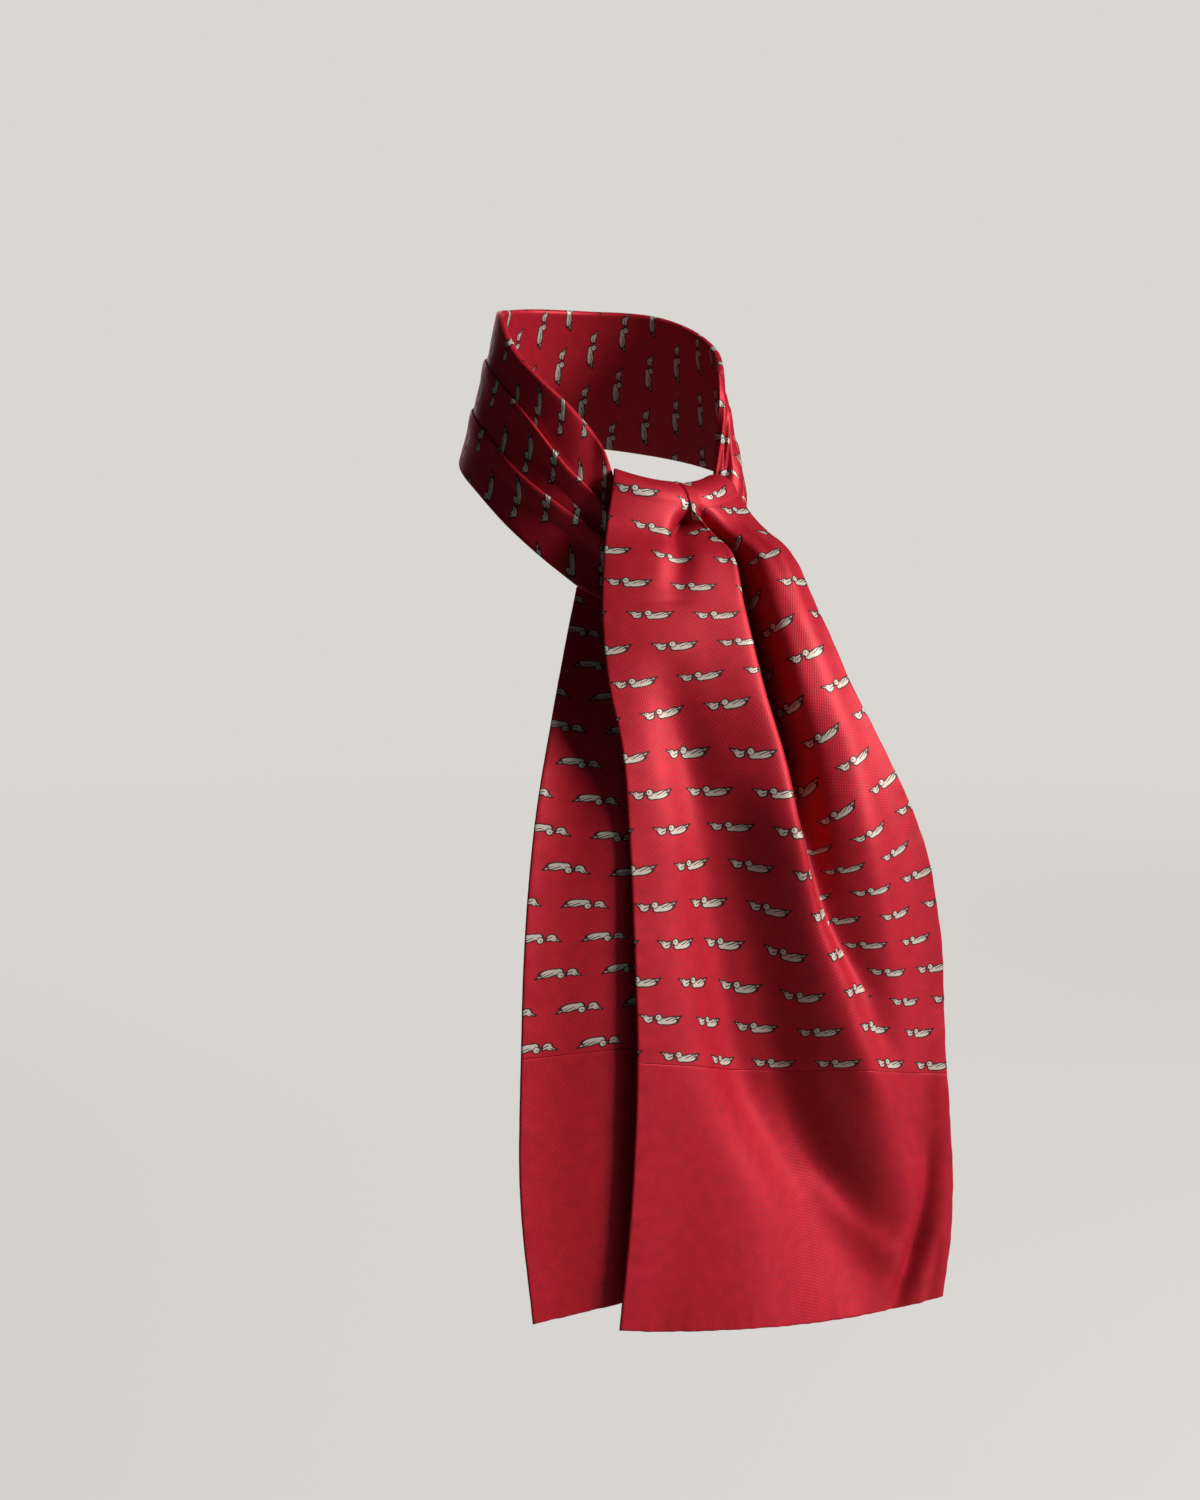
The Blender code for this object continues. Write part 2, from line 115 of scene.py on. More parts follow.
LEFT_SECTIONS = (
    StretchSection(-67.9, 0.0562, 0.057, -67.9, 0.0800, -0.007, 0.0012),
    StretchSection(-57.0, 0.0590, 0.040, -58.0, 0.0800, -0.019, 0.0028),
    StretchSection(-49.0, 0.0620, 0.016, -49.0, 0.0790, -0.033, 0.0024),
    StretchSection(-40.0, 0.0670, -0.013, -39.0, 0.0765, -0.046, 0.0010),
    StretchSection(-22.0, 0.0680, -0.021, -28.0, 0.0755, -0.056, 0.0008),
    StretchSection(0.0, 0.0688, -0.027, -18.0, 0.0760, -0.062, 0.0008),
    StretchSection(18.0, 0.0700, -0.038, -13.0, 0.0765, -0.067, 0.0008),
    StretchSection(31.0, 0.0720, -0.053, -11.0, 0.0775, -0.071, 0.0008),
)

CROSSING_SECTIONS = (
    StretchSection(11.8, 0.0680, -0.006, 11.8, 0.0830, -0.066),
    StretchSection(0.0, 0.0725, -0.013, 0.0, 0.0825, -0.066),
    StretchSection(-14.0, 0.0745, -0.016, -14.0, 0.0815, -0.066),
    StretchSection(-28.0, 0.0770, -0.022, -28.0, 0.0805, -0.066),
    StretchSection(-40.0, 0.0800, -0.036, -40.0, 0.0805, -0.067),
    StretchSection(-47.5, 0.0775, -0.052, -47.5, 0.0775, -0.074),
    StretchSection(-49.5, 0.0710, -0.054, -49.5, 0.0710, -0.076),
    StretchSection(-46.0, 0.0640, -0.051, -46.0, 0.0640, -0.074),
    StretchSection(-36.0, 0.0612, -0.0415, -36.0, 0.0612, -0.068),
    StretchSection(-15.0, 0.0612, -0.040, -15.0, 0.0612, -0.066),
    StretchSection(12.0, 0.0612, -0.040, 12.0, 0.0612, -0.064),
)


class BladeSection(NamedTuple):
    """One row of a blade, from its edge at the wearer's right to the other edge."""

    drop: float
    right_x: float
    right_y: float
    right_z: float
    left_x: float
    left_y: float
    left_z: float
    bulge: float
    sag: float


FRONT_SECTIONS = (
    BladeSection(0.000, -0.0250, -0.0780, -0.004, 0.0520, -0.0640, -0.007, 0.015, 0.008),
    BladeSection(0.018, -0.0307, -0.0855, -0.021, 0.0578, -0.0774, -0.0218, 0.0105, 0.004),
    BladeSection(0.036, -0.0366, -0.0955, -0.0375, 0.0656, -0.0956, -0.0346, 0.0110, 0.000),
    BladeSection(0.060, -0.0421, -0.1070, -0.0607, 0.0718, -0.1132, -0.0607, 0.0105, 0.000),
    BladeSection(0.100, -0.0444, -0.1220, -0.0985, 0.0859, -0.1319, -0.1059, 0.0085, 0.000),
    BladeSection(0.130, -0.0414, -0.1310, -0.1273, 0.1017, -0.1404, -0.1403, 0.0045, 0.000),
    BladeSection(0.171, -0.0406, -0.1380, -0.1673, 0.1206, -0.1437, -0.1833, 0.0040, 0.000),
    BladeSection(0.212, -0.0400, -0.1420, -0.2078, 0.1320, -0.1419, -0.2292, 0.0030, 0.000),
    BladeSection(0.2845, -0.0390, -0.1455, -0.280, 0.1416, -0.1328, -0.3091, 0.0030, 0.000),
    BladeSection(0.350, -0.0415, -0.1455, -0.347, 0.1505, -0.1234, -0.3753, 0.0060, 0.001),
    BladeSection(0.4185, -0.0475, -0.1455, -0.415, 0.1495, -0.1210, -0.438, 0.011, 0.002),
)

UNDER_SECTIONS = (
    BladeSection(0.000, -0.0375, -0.0614, -0.0530, 0.0148, -0.0760, -0.0709, 0.003, 0.000),
    BladeSection(0.030, -0.0507, -0.0780, -0.0834, 0.0330, -0.0840, -0.095, 0.006, 0.000),
    BladeSection(0.062, -0.0636, -0.0950, -0.1141, 0.0520, -0.0900, -0.122, 0.007, 0.000),
    BladeSection(0.112, -0.0797, -0.1140, -0.1612, 0.0740, -0.0920, -0.166, 0.006, 0.000),
    BladeSection(0.170, -0.0892, -0.1240, -0.2181, 0.0880, -0.0920, -0.2205, 0.004, 0.000),
    BladeSection(0.2250, -0.0926, -0.1270, -0.2775, 0.0930, -0.0930, -0.2830, 0.002, 0.000),
    BladeSection(0.300, -0.0939, -0.1290, -0.3485, 0.0950, -0.0940, -0.3500, 0.001, 0.000),
    BladeSection(0.3640, -0.0881, -0.1300, -0.4115, 0.0980, -0.0970, -0.4080, 0.001, 0.000),
)


class FoldKey(NamedTuple):
    """A fold at one drop: its place across the blade, half width, height and lean."""

    drop: float
    place: float
    width: float
    height: float
    lean: float = 0.0


FRONT_FOLDS = {
    "lap": (
        FoldKey(0.000, 0.46, 0.055, 0.000, 0.001),
        FoldKey(0.018, 0.54, 0.072, 0.001, 0.004),
        FoldKey(0.036, 0.555, 0.078, 0.001, 0.006),
        FoldKey(0.060, 0.53, 0.080, 0.002, 0.0065),
        FoldKey(0.100, 0.495, 0.080, 0.005, 0.0075),
        FoldKey(0.130, 0.475, 0.080, 0.008, 0.008),
        FoldKey(0.171, 0.46, 0.078, 0.012, 0.007),
        FoldKey(0.212, 0.51, 0.078, 0.010, 0.005),
        FoldKey(0.250, 0.60, 0.095, 0.012, 0.003),
        FoldKey(0.2845, 0.69, 0.098, 0.0145),
        FoldKey(0.320, 0.75, 0.110, 0.011),
        FoldKey(0.350, 0.82, 0.120, 0.008),
        FoldKey(0.4185, 0.90, 0.100, 0.002),
    ),
    "tuck": (
        FoldKey(0.000, 0.62, 0.060, -0.001),
        FoldKey(0.018, 0.67, 0.060, -0.009),
        FoldKey(0.036, 0.69, 0.061, -0.023),
        FoldKey(0.060, 0.68, 0.058, -0.031),
        FoldKey(0.100, 0.655, 0.058, -0.030),
        FoldKey(0.130, 0.63, 0.056, -0.023),
        FoldKey(0.171, 0.595, 0.052, -0.011),
        FoldKey(0.212, 0.61, 0.052, -0.004),
        FoldKey(0.250, 0.72, 0.055, 0.000),
    ),
    "left_ridge": (
        FoldKey(0.006, 0.90, 0.070, 0.000),
        FoldKey(0.036, 0.89, 0.070, 0.004),
        FoldKey(0.100, 0.87, 0.080, 0.003),
        FoldKey(0.130, 0.83, 0.085, 0.004),
        FoldKey(0.171, 0.77, 0.100, 0.008),
        FoldKey(0.212, 0.77, 0.105, 0.009),
        FoldKey(0.2845, 0.83, 0.080, 0.006),
        FoldKey(0.330, 0.85, 0.090, 0.000),
    ),
    "throat_dent": (
        FoldKey(0.000, 0.46, 0.050, 0.000),
        FoldKey(0.014, 0.44, 0.060, -0.006),
        FoldKey(0.036, 0.36, 0.065, -0.004),
        FoldKey(0.065, 0.30, 0.070, 0.000),
    ),
    "long_valley": (
        FoldKey(0.080, 0.24, 0.095, 0.000),
        FoldKey(0.130, 0.24, 0.095, -0.007),
        FoldKey(0.171, 0.26, 0.100, -0.010),
        FoldKey(0.212, 0.29, 0.120, -0.014),
        FoldKey(0.250, 0.32, 0.115, -0.017),
        FoldKey(0.2845, 0.36, 0.115, -0.018),
        FoldKey(0.320, 0.45, 0.130, -0.014),
        FoldKey(0.350, 0.56, 0.140, -0.010),
        FoldKey(0.385, 0.65, 0.140, -0.006),
        FoldKey(0.4185, 0.70, 0.120, -0.001),
    ),
    "hem_groove": (
        FoldKey(0.320, 0.92, 0.040, 0.000),
        FoldKey(0.385, 0.88, 0.040, -0.005),
        FoldKey(0.4185, 0.82, 0.045, -0.004),
    ),
}

UNDER_FOLDS = {
    "edge_roll": (
        FoldKey(0.000, 0.34, 0.120, 0.000),
        FoldKey(0.030, 0.34, 0.130, 0.006),
        FoldKey(0.062, 0.32, 0.145, 0.016),
        FoldKey(0.112, 0.30, 0.170, 0.018),
        FoldKey(0.170, 0.30, 0.190, 0.016),
        FoldKey(0.225, 0.30, 0.190, 0.016),
        FoldKey(0.364, 0.28, 0.180, 0.013),
    ),
    "hidden_valley": (
        FoldKey(0.030, 0.60, 0.120, 0.000),
        FoldKey(0.160, 0.62, 0.130, -0.004),
        FoldKey(0.364, 0.60, 0.130, -0.003),
    ),
}

LEFT_FOLDS = {
    "inner_crumple": (FoldKey(0.0, 0.22, 0.130, 1.0), FoldKey(1.0, 0.24, 0.130, 0.8)),
    "outer_crumple": (FoldKey(0.0, 0.66, 0.140, 0.9), FoldKey(1.0, 0.66, 0.140, 0.7)),
}


def through(stations: Grid, values: Grid, at: Grid) -> Grid:
    """Smooth curve through values given at rising stations, as a cubic Hermite line.

    Args:
        stations: Where the values are given, rising.
        values: The curve's values there.
        at: Places to read it at, held to the stations' range.

    Returns:
        The curve's values at those places.
    """
    stations = np.asarray(stations, float)
    values = np.asarray(values, float)
    at = np.clip(np.asarray(at, float), stations[0], stations[-1])
    slopes = np.gradient(values, stations, edge_order=1)
    low = np.clip(np.searchsorted(stations, at, side="right") - 1, 0, len(stations) - 2)
    span = stations[low + 1] - stations[low]
    u = (at - stations[low]) / span
    start = (1 + 2 * u) * (1 - u) ** 2 * values[low] + u * (1 - u) ** 2 * span * slopes[low]
    end = u**2 * (3 - 2 * u) * values[low + 1] + u**2 * (u - 1) * span * slopes[low + 1]
    return start + end


def column(table: tuple, name: str, at: Grid) -> Grid:
    """One column of a table of sections or fold keys, read along its first column."""
    return through([row[0] for row in table], [getattr(row, name) for row in table], at)


def smooth_step(low: Grid, high: Grid, at: Grid) -> Grid:
    """Rise from 0 at low to 1 at high with level ends, 3t^2 - 2t^3."""
    t = np.clip((at - low) / (high - low), 0, 1)
    return t * t * (3 - 2 * t)


def ring_point(angle: Grid, radius: Grid, height: Grid) -> Grid:
    """Place on the ring round the neck, which leans forward above the throat.

    Args:
        angle: Degrees round the neck from the front, to the wearer's right.
        radius: Distance from the neck's middle.
        height: Height over the throat.

    Returns:
        The points.
    """
    turn = np.radians(angle)
    lean = NECK_LEAN * 0.5 * (height + np.sqrt(height**2 + LEAN_START**2) - LEAN_START)
    return np.stack([-radius * np.sin(turn), -lean - radius * np.cos(turn), height + 0 * radius], -1)


def fold_shift(folds: dict, across: Grid, drop: Grid) -> tuple[Grid, Grid]:
    """Height and sideways lean that folds add: bell curves across, keyed down the drop.

    Args:
        folds: Tables of fold keys by name.
        across: Shares across the cloth.
        drop: Drops of the rows.

    Returns:
        Height and lean on the grid drop by across.
    """
    height = np.zeros((len(drop), len(across)))
    lean = np.zeros_like(height)
    for keys in folds.values():
        inside = (drop >= keys[0].drop) & (drop <= keys[-1].drop)
        place = column(keys, "place", drop)[:, None]
        width = column(keys, "width", drop)[:, None]
        shape = np.exp(-(((across[None, :] - place) / width) ** 2)) * inside[:, None]
        height += column(keys, "height", drop)[:, None] * shape
        lean += column(keys, "lean", drop)[:, None] * shape
    return height, lean


def face_normals(face: Grid) -> Grid:
    """Unit normals of a grid of points: down the rows crossed with along them.

    Rows can lie closer together at a seam, so slopes down the rows are taken
    over the mean distance walked between them.

    Args:
        face: Grid of points.

    Returns:
        One unit normal at each point.
    """
    steps = np.linalg.norm(np.diff(face, axis=0), axis=-1).mean(axis=1)
    down = np.concatenate([[0.0], np.cumsum(steps)])
    normal = np.cross(np.gradient(face, down, axis=0), np.gradient(face, axis=1))
    length = np.linalg.norm(normal, axis=-1, keepdims=True)
    return normal / np.maximum(length, 1e-12)


def walked(points: Grid, axis: int) -> Grid:
    """Length walked along a grid's lines from its first row or column.

    Args:
        points: Grid of points.
        axis: 0 to walk down the rows, 1 to walk along them.

    Returns:
        The length at each point.
    """
    steps = np.linalg.norm(np.diff(points, axis=axis), axis=-1)
    start = np.zeros_like(np.take(steps, [0], axis=axis))
    return np.concatenate([start, np.cumsum(steps, axis=axis)], axis=axis)


RIM_SHARES = np.array([0.0, 0.06, 0.22, 0.5])


def edge_stations(count: int, rim: float) -> Grid:
    """Shares from 0 to 1, even but for closer ones in a rim at each end."""
    rounding = rim * RIM_SHARES
    return np.concatenate([rounding, np.linspace(rim, 1 - rim, count), 1 - rounding[::-1]])


def crowd(stations: Grid, place: float, width: float, gain: float) -> Grid:
    """Draw even shares together round a place, by the running sum of 1 plus a bell.

    Args:
        stations: Even shares.
        place: Share to crowd round.
        width: Half width of the crowded stretch.
        gain: How many times more shares lie at its middle, less one.

    Returns:
        The shares, drawn together.
    """
    fine = np.linspace(0, 1, 2001)
    crowding = np.cumsum(1 + gain * np.exp(-(((fine - place) / width) ** 2)))
    crowding = (crowding - crowding[0]) / (crowding[-1] - crowding[0])
    return np.interp(stations, crowding, fine)


class Ripple(NamedTuple):
    """A wave along a line: its length, its share of the height and its phase."""

    length: float
    share: float
    phase: float


HEM_WAVES = (Ripple(0.0113, 0.6, 0.4), Ripple(0.0071, 0.45, 2.1), Ripple(0.0237, 0.6, 4.0))
PUCKER_WAVES = (Ripple(0.0173, 0.4, 0.4), Ripple(0.0097, 0.2, 2.1), Ripple(0.0417, 0.6, 4.0))


def ripples(waves: tuple, along: Grid) -> Grid:
    """Uneven wave along a line: the sum of sines of unlike lengths."""
    return sum(wave.share * np.sin(2 * np.pi * along / wave.length + wave.phase) for wave in waves)


def cell_corners(grid: Grid) -> Grid:
    """Values of a grid at each cell's four corners, going round the cell."""
    return np.stack([grid[:-1, :-1], grid[1:, :-1], grid[1:, 1:], grid[:-1, 1:]], 2)


def turned_over(face_print: Grid) -> Grid:
    """Print coordinates of the back layer, whose motifs face the other way."""
    return face_print * np.array([-1.0, 1.0])


@dataclass
class Cloth:
    """A stretch of cloth: its face, its back and each cell's print coordinates.

    Face and back are grids of points, rows by columns. The print coordinates
    stand at each cell's corners, so a pleat's hidden crease can part them. They
    are in metres: (0, 0) is the middle of a motif, the first one runs to the
    motif's right and the second one up. The last grid, where given, is a share
    of painted shade: near 1 deep in the tuck and the pinch, where shade falls,
    and 0 where the cloth lies open.
    """

    face: Grid
    back: Grid
    face_print: Grid
    back_print: Grid
    # Share of painted shade deep in the tuck and the pinch, or None.
    painted_tuck_shade: Grid | None = None


@dataclass
class Rims:
    """Widths over which a shell rounds off at its four borders, in metres."""

    top: float = 0.9 * MM
    bottom: float = 0.9 * MM
    start: float = 0.9 * MM
    end: float = 0.9 * MM

    def fullness(self, face: Grid) -> Grid:
        """Share of the full wall at each point: a quarter circle in from each border.

        Args:
            face: The outer grid of points.

        Returns:
            0 on the border, 1 past the rims.
        """
        down = walked(face, 0)
        along = walked(face, 1)
        full = np.ones(face.shape[:2])
        borders = (
            (down, self.top),
            (down[-1:] - down, self.bottom),
            (along, self.start),
            (along[:, -1:] - along, self.end),
        )
        for distance, rim in borders:
            share = np.clip(distance / rim, 0, 1)
            full = np.minimum(full, np.sqrt(np.clip(1 - (1 - share) ** 2, 0, 1)))
        return full


def round_off(face: Grid, back: Grid, rims: Rims) -> tuple[Grid, Grid]:
    """Draw face and back together towards their middle inside the rims.

    Args:
        face: Outer grid of points.
        back: Inner grid of points.
        rims: Widths of the rounding.

    Returns:
        The two grids, which meet on the borders.
    """
    middle = 0.5 * (face + back)
    full = rims.fullness(face)[..., None]
    return middle + (face - middle) * full, middle + (back - middle) * full


def shell_mesh(name: str, cloth: Cloth, facing: int) -> bpy.types.Mesh:
    """Closed mesh of a shell whose face and back share their border points.

    Args:
        name: The mesh's name.
        cloth: The two grids and their print coordinates.
        facing: 1 where rows crossed with columns point out of the face, else -1.

    Returns:
        The mesh, smooth, with the print coordinates as its UV map.
    """
    rows, columns = cloth.face.shape[:2]
    front = np.arange(rows * columns).reshape(rows, columns)
    back = front.copy()
    back[1:-1, 1:-1] = rows * columns + np.arange((rows - 2) * (columns - 2)).reshape(rows - 2, -1)
    points = np.concatenate([cloth.face.reshape(-1, 3), cloth.back[1:-1, 1:-1].reshape(-1, 3)])
    sides = ((front, cloth.face_print, facing), (back, cloth.back_print, -facing))
    quads = np.concatenate([cell_corners(index)[:, :, ::way].reshape(-1, 4) for index, _, way in sides])
    prints = np.concatenate([print_at[:, :, ::way].reshape(-1, 2) for _, print_at, way in sides])
    mesh = bpy.data.meshes.new(name)
    mesh.vertices.add(len(points))
    mesh.vertices.foreach_set("co", points.ravel())
    mesh.loops.add(quads.size)
    mesh.loops.foreach_set("vertex_index", quads.ravel())
    mesh.polygons.add(len(quads))
    mesh.polygons.foreach_set("loop_start", np.arange(0, quads.size, 4))
    mesh.update(calc_edges=True)
    layer = mesh.uv_layers.new(name="cloth")
    layer.uv.foreach_set("vector", prints.ravel())
    # Painted shade: the share by which the material darkens the colour deep in the tuck and the pinch.
    if cloth.painted_tuck_shade is not None:
        painted_tuck_shade = np.concatenate([cloth.painted_tuck_shade.ravel(), cloth.painted_tuck_shade[1:-1, 1:-1].ravel()])
        mesh.attributes.new("painted_tuck_shade", "FLOAT", "POINT").data.foreach_set("value", painted_tuck_shade)
    mesh.shade_smooth()
    return mesh


def add_node(
    tree: Tree, kind: str, links: dict | None = None, output: int | str = 0, **settings
) -> Socket:
    """Add a node with its settings and inputs.

    Args:
        tree: The node tree.
        kind: The node's type name.
        links: For each input, by name or number, a socket to link or a value to set.
        output: The output that is wanted, by name or number.
        **settings: The node's own properties.

    Returns:
        That output of the new node.
    """
    node = tree.nodes.new(kind)
    for key, value in settings.items():
        setattr(node, key, value)
    for key, value in (links or {}).items():
        if isinstance(value, Socket):
            tree.links.new(value, node.inputs[key])
        else:
            node.inputs[key].default_value = value
    return node.outputs[output]


def linear(colour: str) -> tuple[float, float, float, float]:
    """Linear RGBA of an sRGB hex colour.

    Args:
        colour: Hash sign and six hex digits.

    Returns:
        Red, green, blue and an alpha of 1.
    """
    parts = np.array([int(colour[i : i + 2], 16) for i in (1, 3, 5)]) / 255
    parts = np.where(parts <= 0.04045, parts / 12.92, ((parts + 0.055) / 1.055) ** 2.4)
    return (*parts.tolist(), 1.0)


MATH = "ShaderNodeMath"
VECTOR_MATH = "ShaderNodeVectorMath"
# A colour Mix node's sockets, by number, because several share a name.
MIX_SHARE, MIX_FIRST, MIX_SECOND, MIX_COLOUR = 0, 6, 7, 2


class Oval(NamedTuple):
    """One rounded form of a motif, in millimetres from the motif's middle."""

    x: float
    y: float
    half_length: float
    half_height: float
    turn: float = 0.0


DUCK = (
    Oval(4.5, -0.9, 5.6, 1.75, 5.0),
    Oval(0.6, -1.2, 2.2, 1.6),
    Oval(-0.5, 0.7, 1.75, 1.6),
    Oval(-2.2, 0.2, 0.9, 0.45, 12.0),
    Oval(5.8, 0.4, 4.0, 0.9, 8.0),
    Oval(10.1, 0.9, 1.7, 0.5, 22.0),
)
DUCK_HEAD = Oval(-0.5, 0.7, 1.75, 1.6)
DUCKLING = (
    Oval(-6.0, -0.7, 2.4, 1.6, 6.0),
    Oval(-7.5, 0.3, 1.4, 1.25),
    Oval(-9.3, 0.9, 1.3, 0.45, -22.0),
    Oval(-4.4, 0.4, 1.2, 0.6, 30.0),
)
WINGS = (Oval(5.9, 0.1, 4.3, 1.0, 8.0), Oval(-5.4, -0.4, 1.5, 0.85, 20.0))
EYES = (Oval(-0.9, 0.9, 0.34, 0.28), Oval(-7.8, 0.6, 0.28, 0.26))


@dataclass(frozen=True)
class DuckRepeat:
    """The small repeat: a duck behind its duckling, in rows set off by a third.

    The pairs say where a soft mask is 0 and where it is 1: in millimetres from
    a form's outline, and for the hatch in heights of its wave.
    """

    across_mm: float = 33.0
    down_mm: float = 18.0
    shift_mm: float = 11.0
    join_mm: float = 0.5
    hatch_mm: float = 1.15
    hatch_turn: float = 112.0
    hatch_stroke: tuple = (0.0, 0.6)
    outline_edge: tuple = (0.55, 0.1)
    filling_edge: tuple = (-0.12, -0.4)
    wing_edge: tuple = (0.1, -0.3)
    eye_edge: tuple = (0.2, -0.1)
    head_line: tuple = (0.3, 0.1)

    def motif_point(self, tree: Tree, cloth_mm: Socket) -> Socket:
        """Cloth coordinates wrapped to one motif, its middle at zero.

        Args:
            tree: The material's node tree.
            cloth_mm: Cloth coordinates in millimetres.

        Returns:
            The place in the motif, in millimetres.
        """
        right = add_node(tree, "ShaderNodeSeparateXYZ", {0: cloth_mm}, "X")
        up = add_node(tree, "ShaderNodeSeparateXYZ", {0: cloth_mm}, "Y")
        place = add_node(tree, MATH, {0: up, 1: 1 / self.down_mm, 2: 0.5}, operation="MULTIPLY_ADD")
        row = add_node(tree, MATH, {0: place}, operation="FLOOR")
        height = add_node(tree, MATH, {0: row, 1: -self.down_mm, 2: up}, operation="MULTIPLY_ADD")
        slid = add_node(tree, MATH, {0: row, 1: self.shift_mm, 2: right}, operation="MULTIPLY_ADD")
        half = self.across_mm / 2
        wrapped = add_node(tree, MATH, {0: slid, 1: half, 2: -half}, operation="WRAP")
        return add_node(tree, "ShaderNodeCombineXYZ", {"X": wrapped, "Y": height})

    def distance(self, tree: Tree, point: Socket, oval: Oval) -> Socket:
        """Rough distance in millimetres outside an oval, below zero inside it.

        Args:
            tree: The material's node tree.
            point: Place in the motif.
            oval: The oval.

        Returns:
            The distance.
        """
        frame_of_oval = {
            "Vector": point,
            "Location": (oval.x, oval.y, 0),
            "Rotation": (0, 0, np.radians(oval.turn)),
            "Scale": (oval.half_length, oval.half_height, 1.0),
        }
        local = add_node(tree, "ShaderNodeMapping", frame_of_oval, vector_type="TEXTURE")
        reach = add_node(tree, VECTOR_MATH, {0: local}, "Value", operation="LENGTH")
        grow = min(oval.half_length, oval.half_height)
        return add_node(tree, MATH, {0: reach, 1: grow, 2: -grow}, operation="MULTIPLY_ADD")

    def union(self, tree: Tree, point: Socket, ovals: tuple, join_mm: float = 0.0) -> Socket:
        """Distance outside several ovals, which run into each other over a width.

        Args:
            tree: The material's node tree.
            point: Place in the motif.
            ovals: The ovals.
            join_mm: Width over which they run together.

        Returns:
            The distance.
        """
        whole = self.distance(tree, point, ovals[0])
        for oval in ovals[1:]:
            other = self.distance(tree, point, oval)
            whole = add_node(tree, MATH, {0: whole, 1: other, 2: join_mm}, operation="SMOOTH_MIN")
        return whole

    def mask(self, tree: Tree, value: Socket, edge: tuple) -> Socket:
        """Soft 0 to 1 between the two values of an edge, in either order."""
        span = {"Value": value, "From Min": edge[0], "From Max": edge[1]}
        return add_node(tree, "ShaderNodeMapRange", span, interpolation_type="SMOOTHSTEP")

    def masks(self, tree: Tree, cloth_mm: Socket) -> tuple[Socket, Socket]:
        """Masks of the motif's dark drawing and of its pale filling.

        Args:
            tree: The material's node tree.
            cloth_mm: Cloth coordinates in millimetres.

        Returns:
            The sockets of the dark mask and of the pale mask.
        """
        point = self.motif_point(tree, cloth_mm)
        duck = self.union(tree, point, DUCK, self.join_mm)
        duckling = self.union(tree, point, DUCKLING, self.join_mm)
        body = add_node(tree, MATH, {0: duck, 1: duckling}, operation="MINIMUM")
        turn = np.radians(self.hatch_turn)
        rate = 2 * np.pi / self.hatch_mm
        direction = (rate * np.cos(turn), rate * np.sin(turn), 0)
        phase = add_node(tree, VECTOR_MATH, {0: point, 1: direction}, "Value", operation="DOT_PRODUCT")
        wave = add_node(tree, MATH, {0: phase}, operation="SINE")
        stroke = self.mask(tree, wave, self.hatch_stroke)
        in_wing = self.mask(tree, self.union(tree, point, WINGS), self.wing_edge)
        marks = add_node(tree, MATH, {0: stroke, 1: in_wing}, operation="MULTIPLY")
        round_head = add_node(tree, MATH, {0: self.distance(tree, point, DUCK_HEAD)}, operation="ABSOLUTE")
        for other in (
            self.mask(tree, self.union(tree, point, EYES), self.eye_edge),
            self.mask(tree, round_head, self.head_line),
        ):
            marks = add_node(tree, MATH, {0: marks, 1: other}, operation="MAXIMUM")
        clear = add_node(tree, MATH, {0: 1.0, 1: marks}, operation="SUBTRACT")
        filling = self.mask(tree, body, self.filling_edge)
        pale = add_node(tree, MATH, {0: filling, 1: clear}, operation="MULTIPLY")
        return self.mask(tree, body, self.outline_edge), pale


class Surface(Enum):
    """Whether a piece carries the printed repeat."""

    PRINTED = "printed"
    PLAIN = "plain"


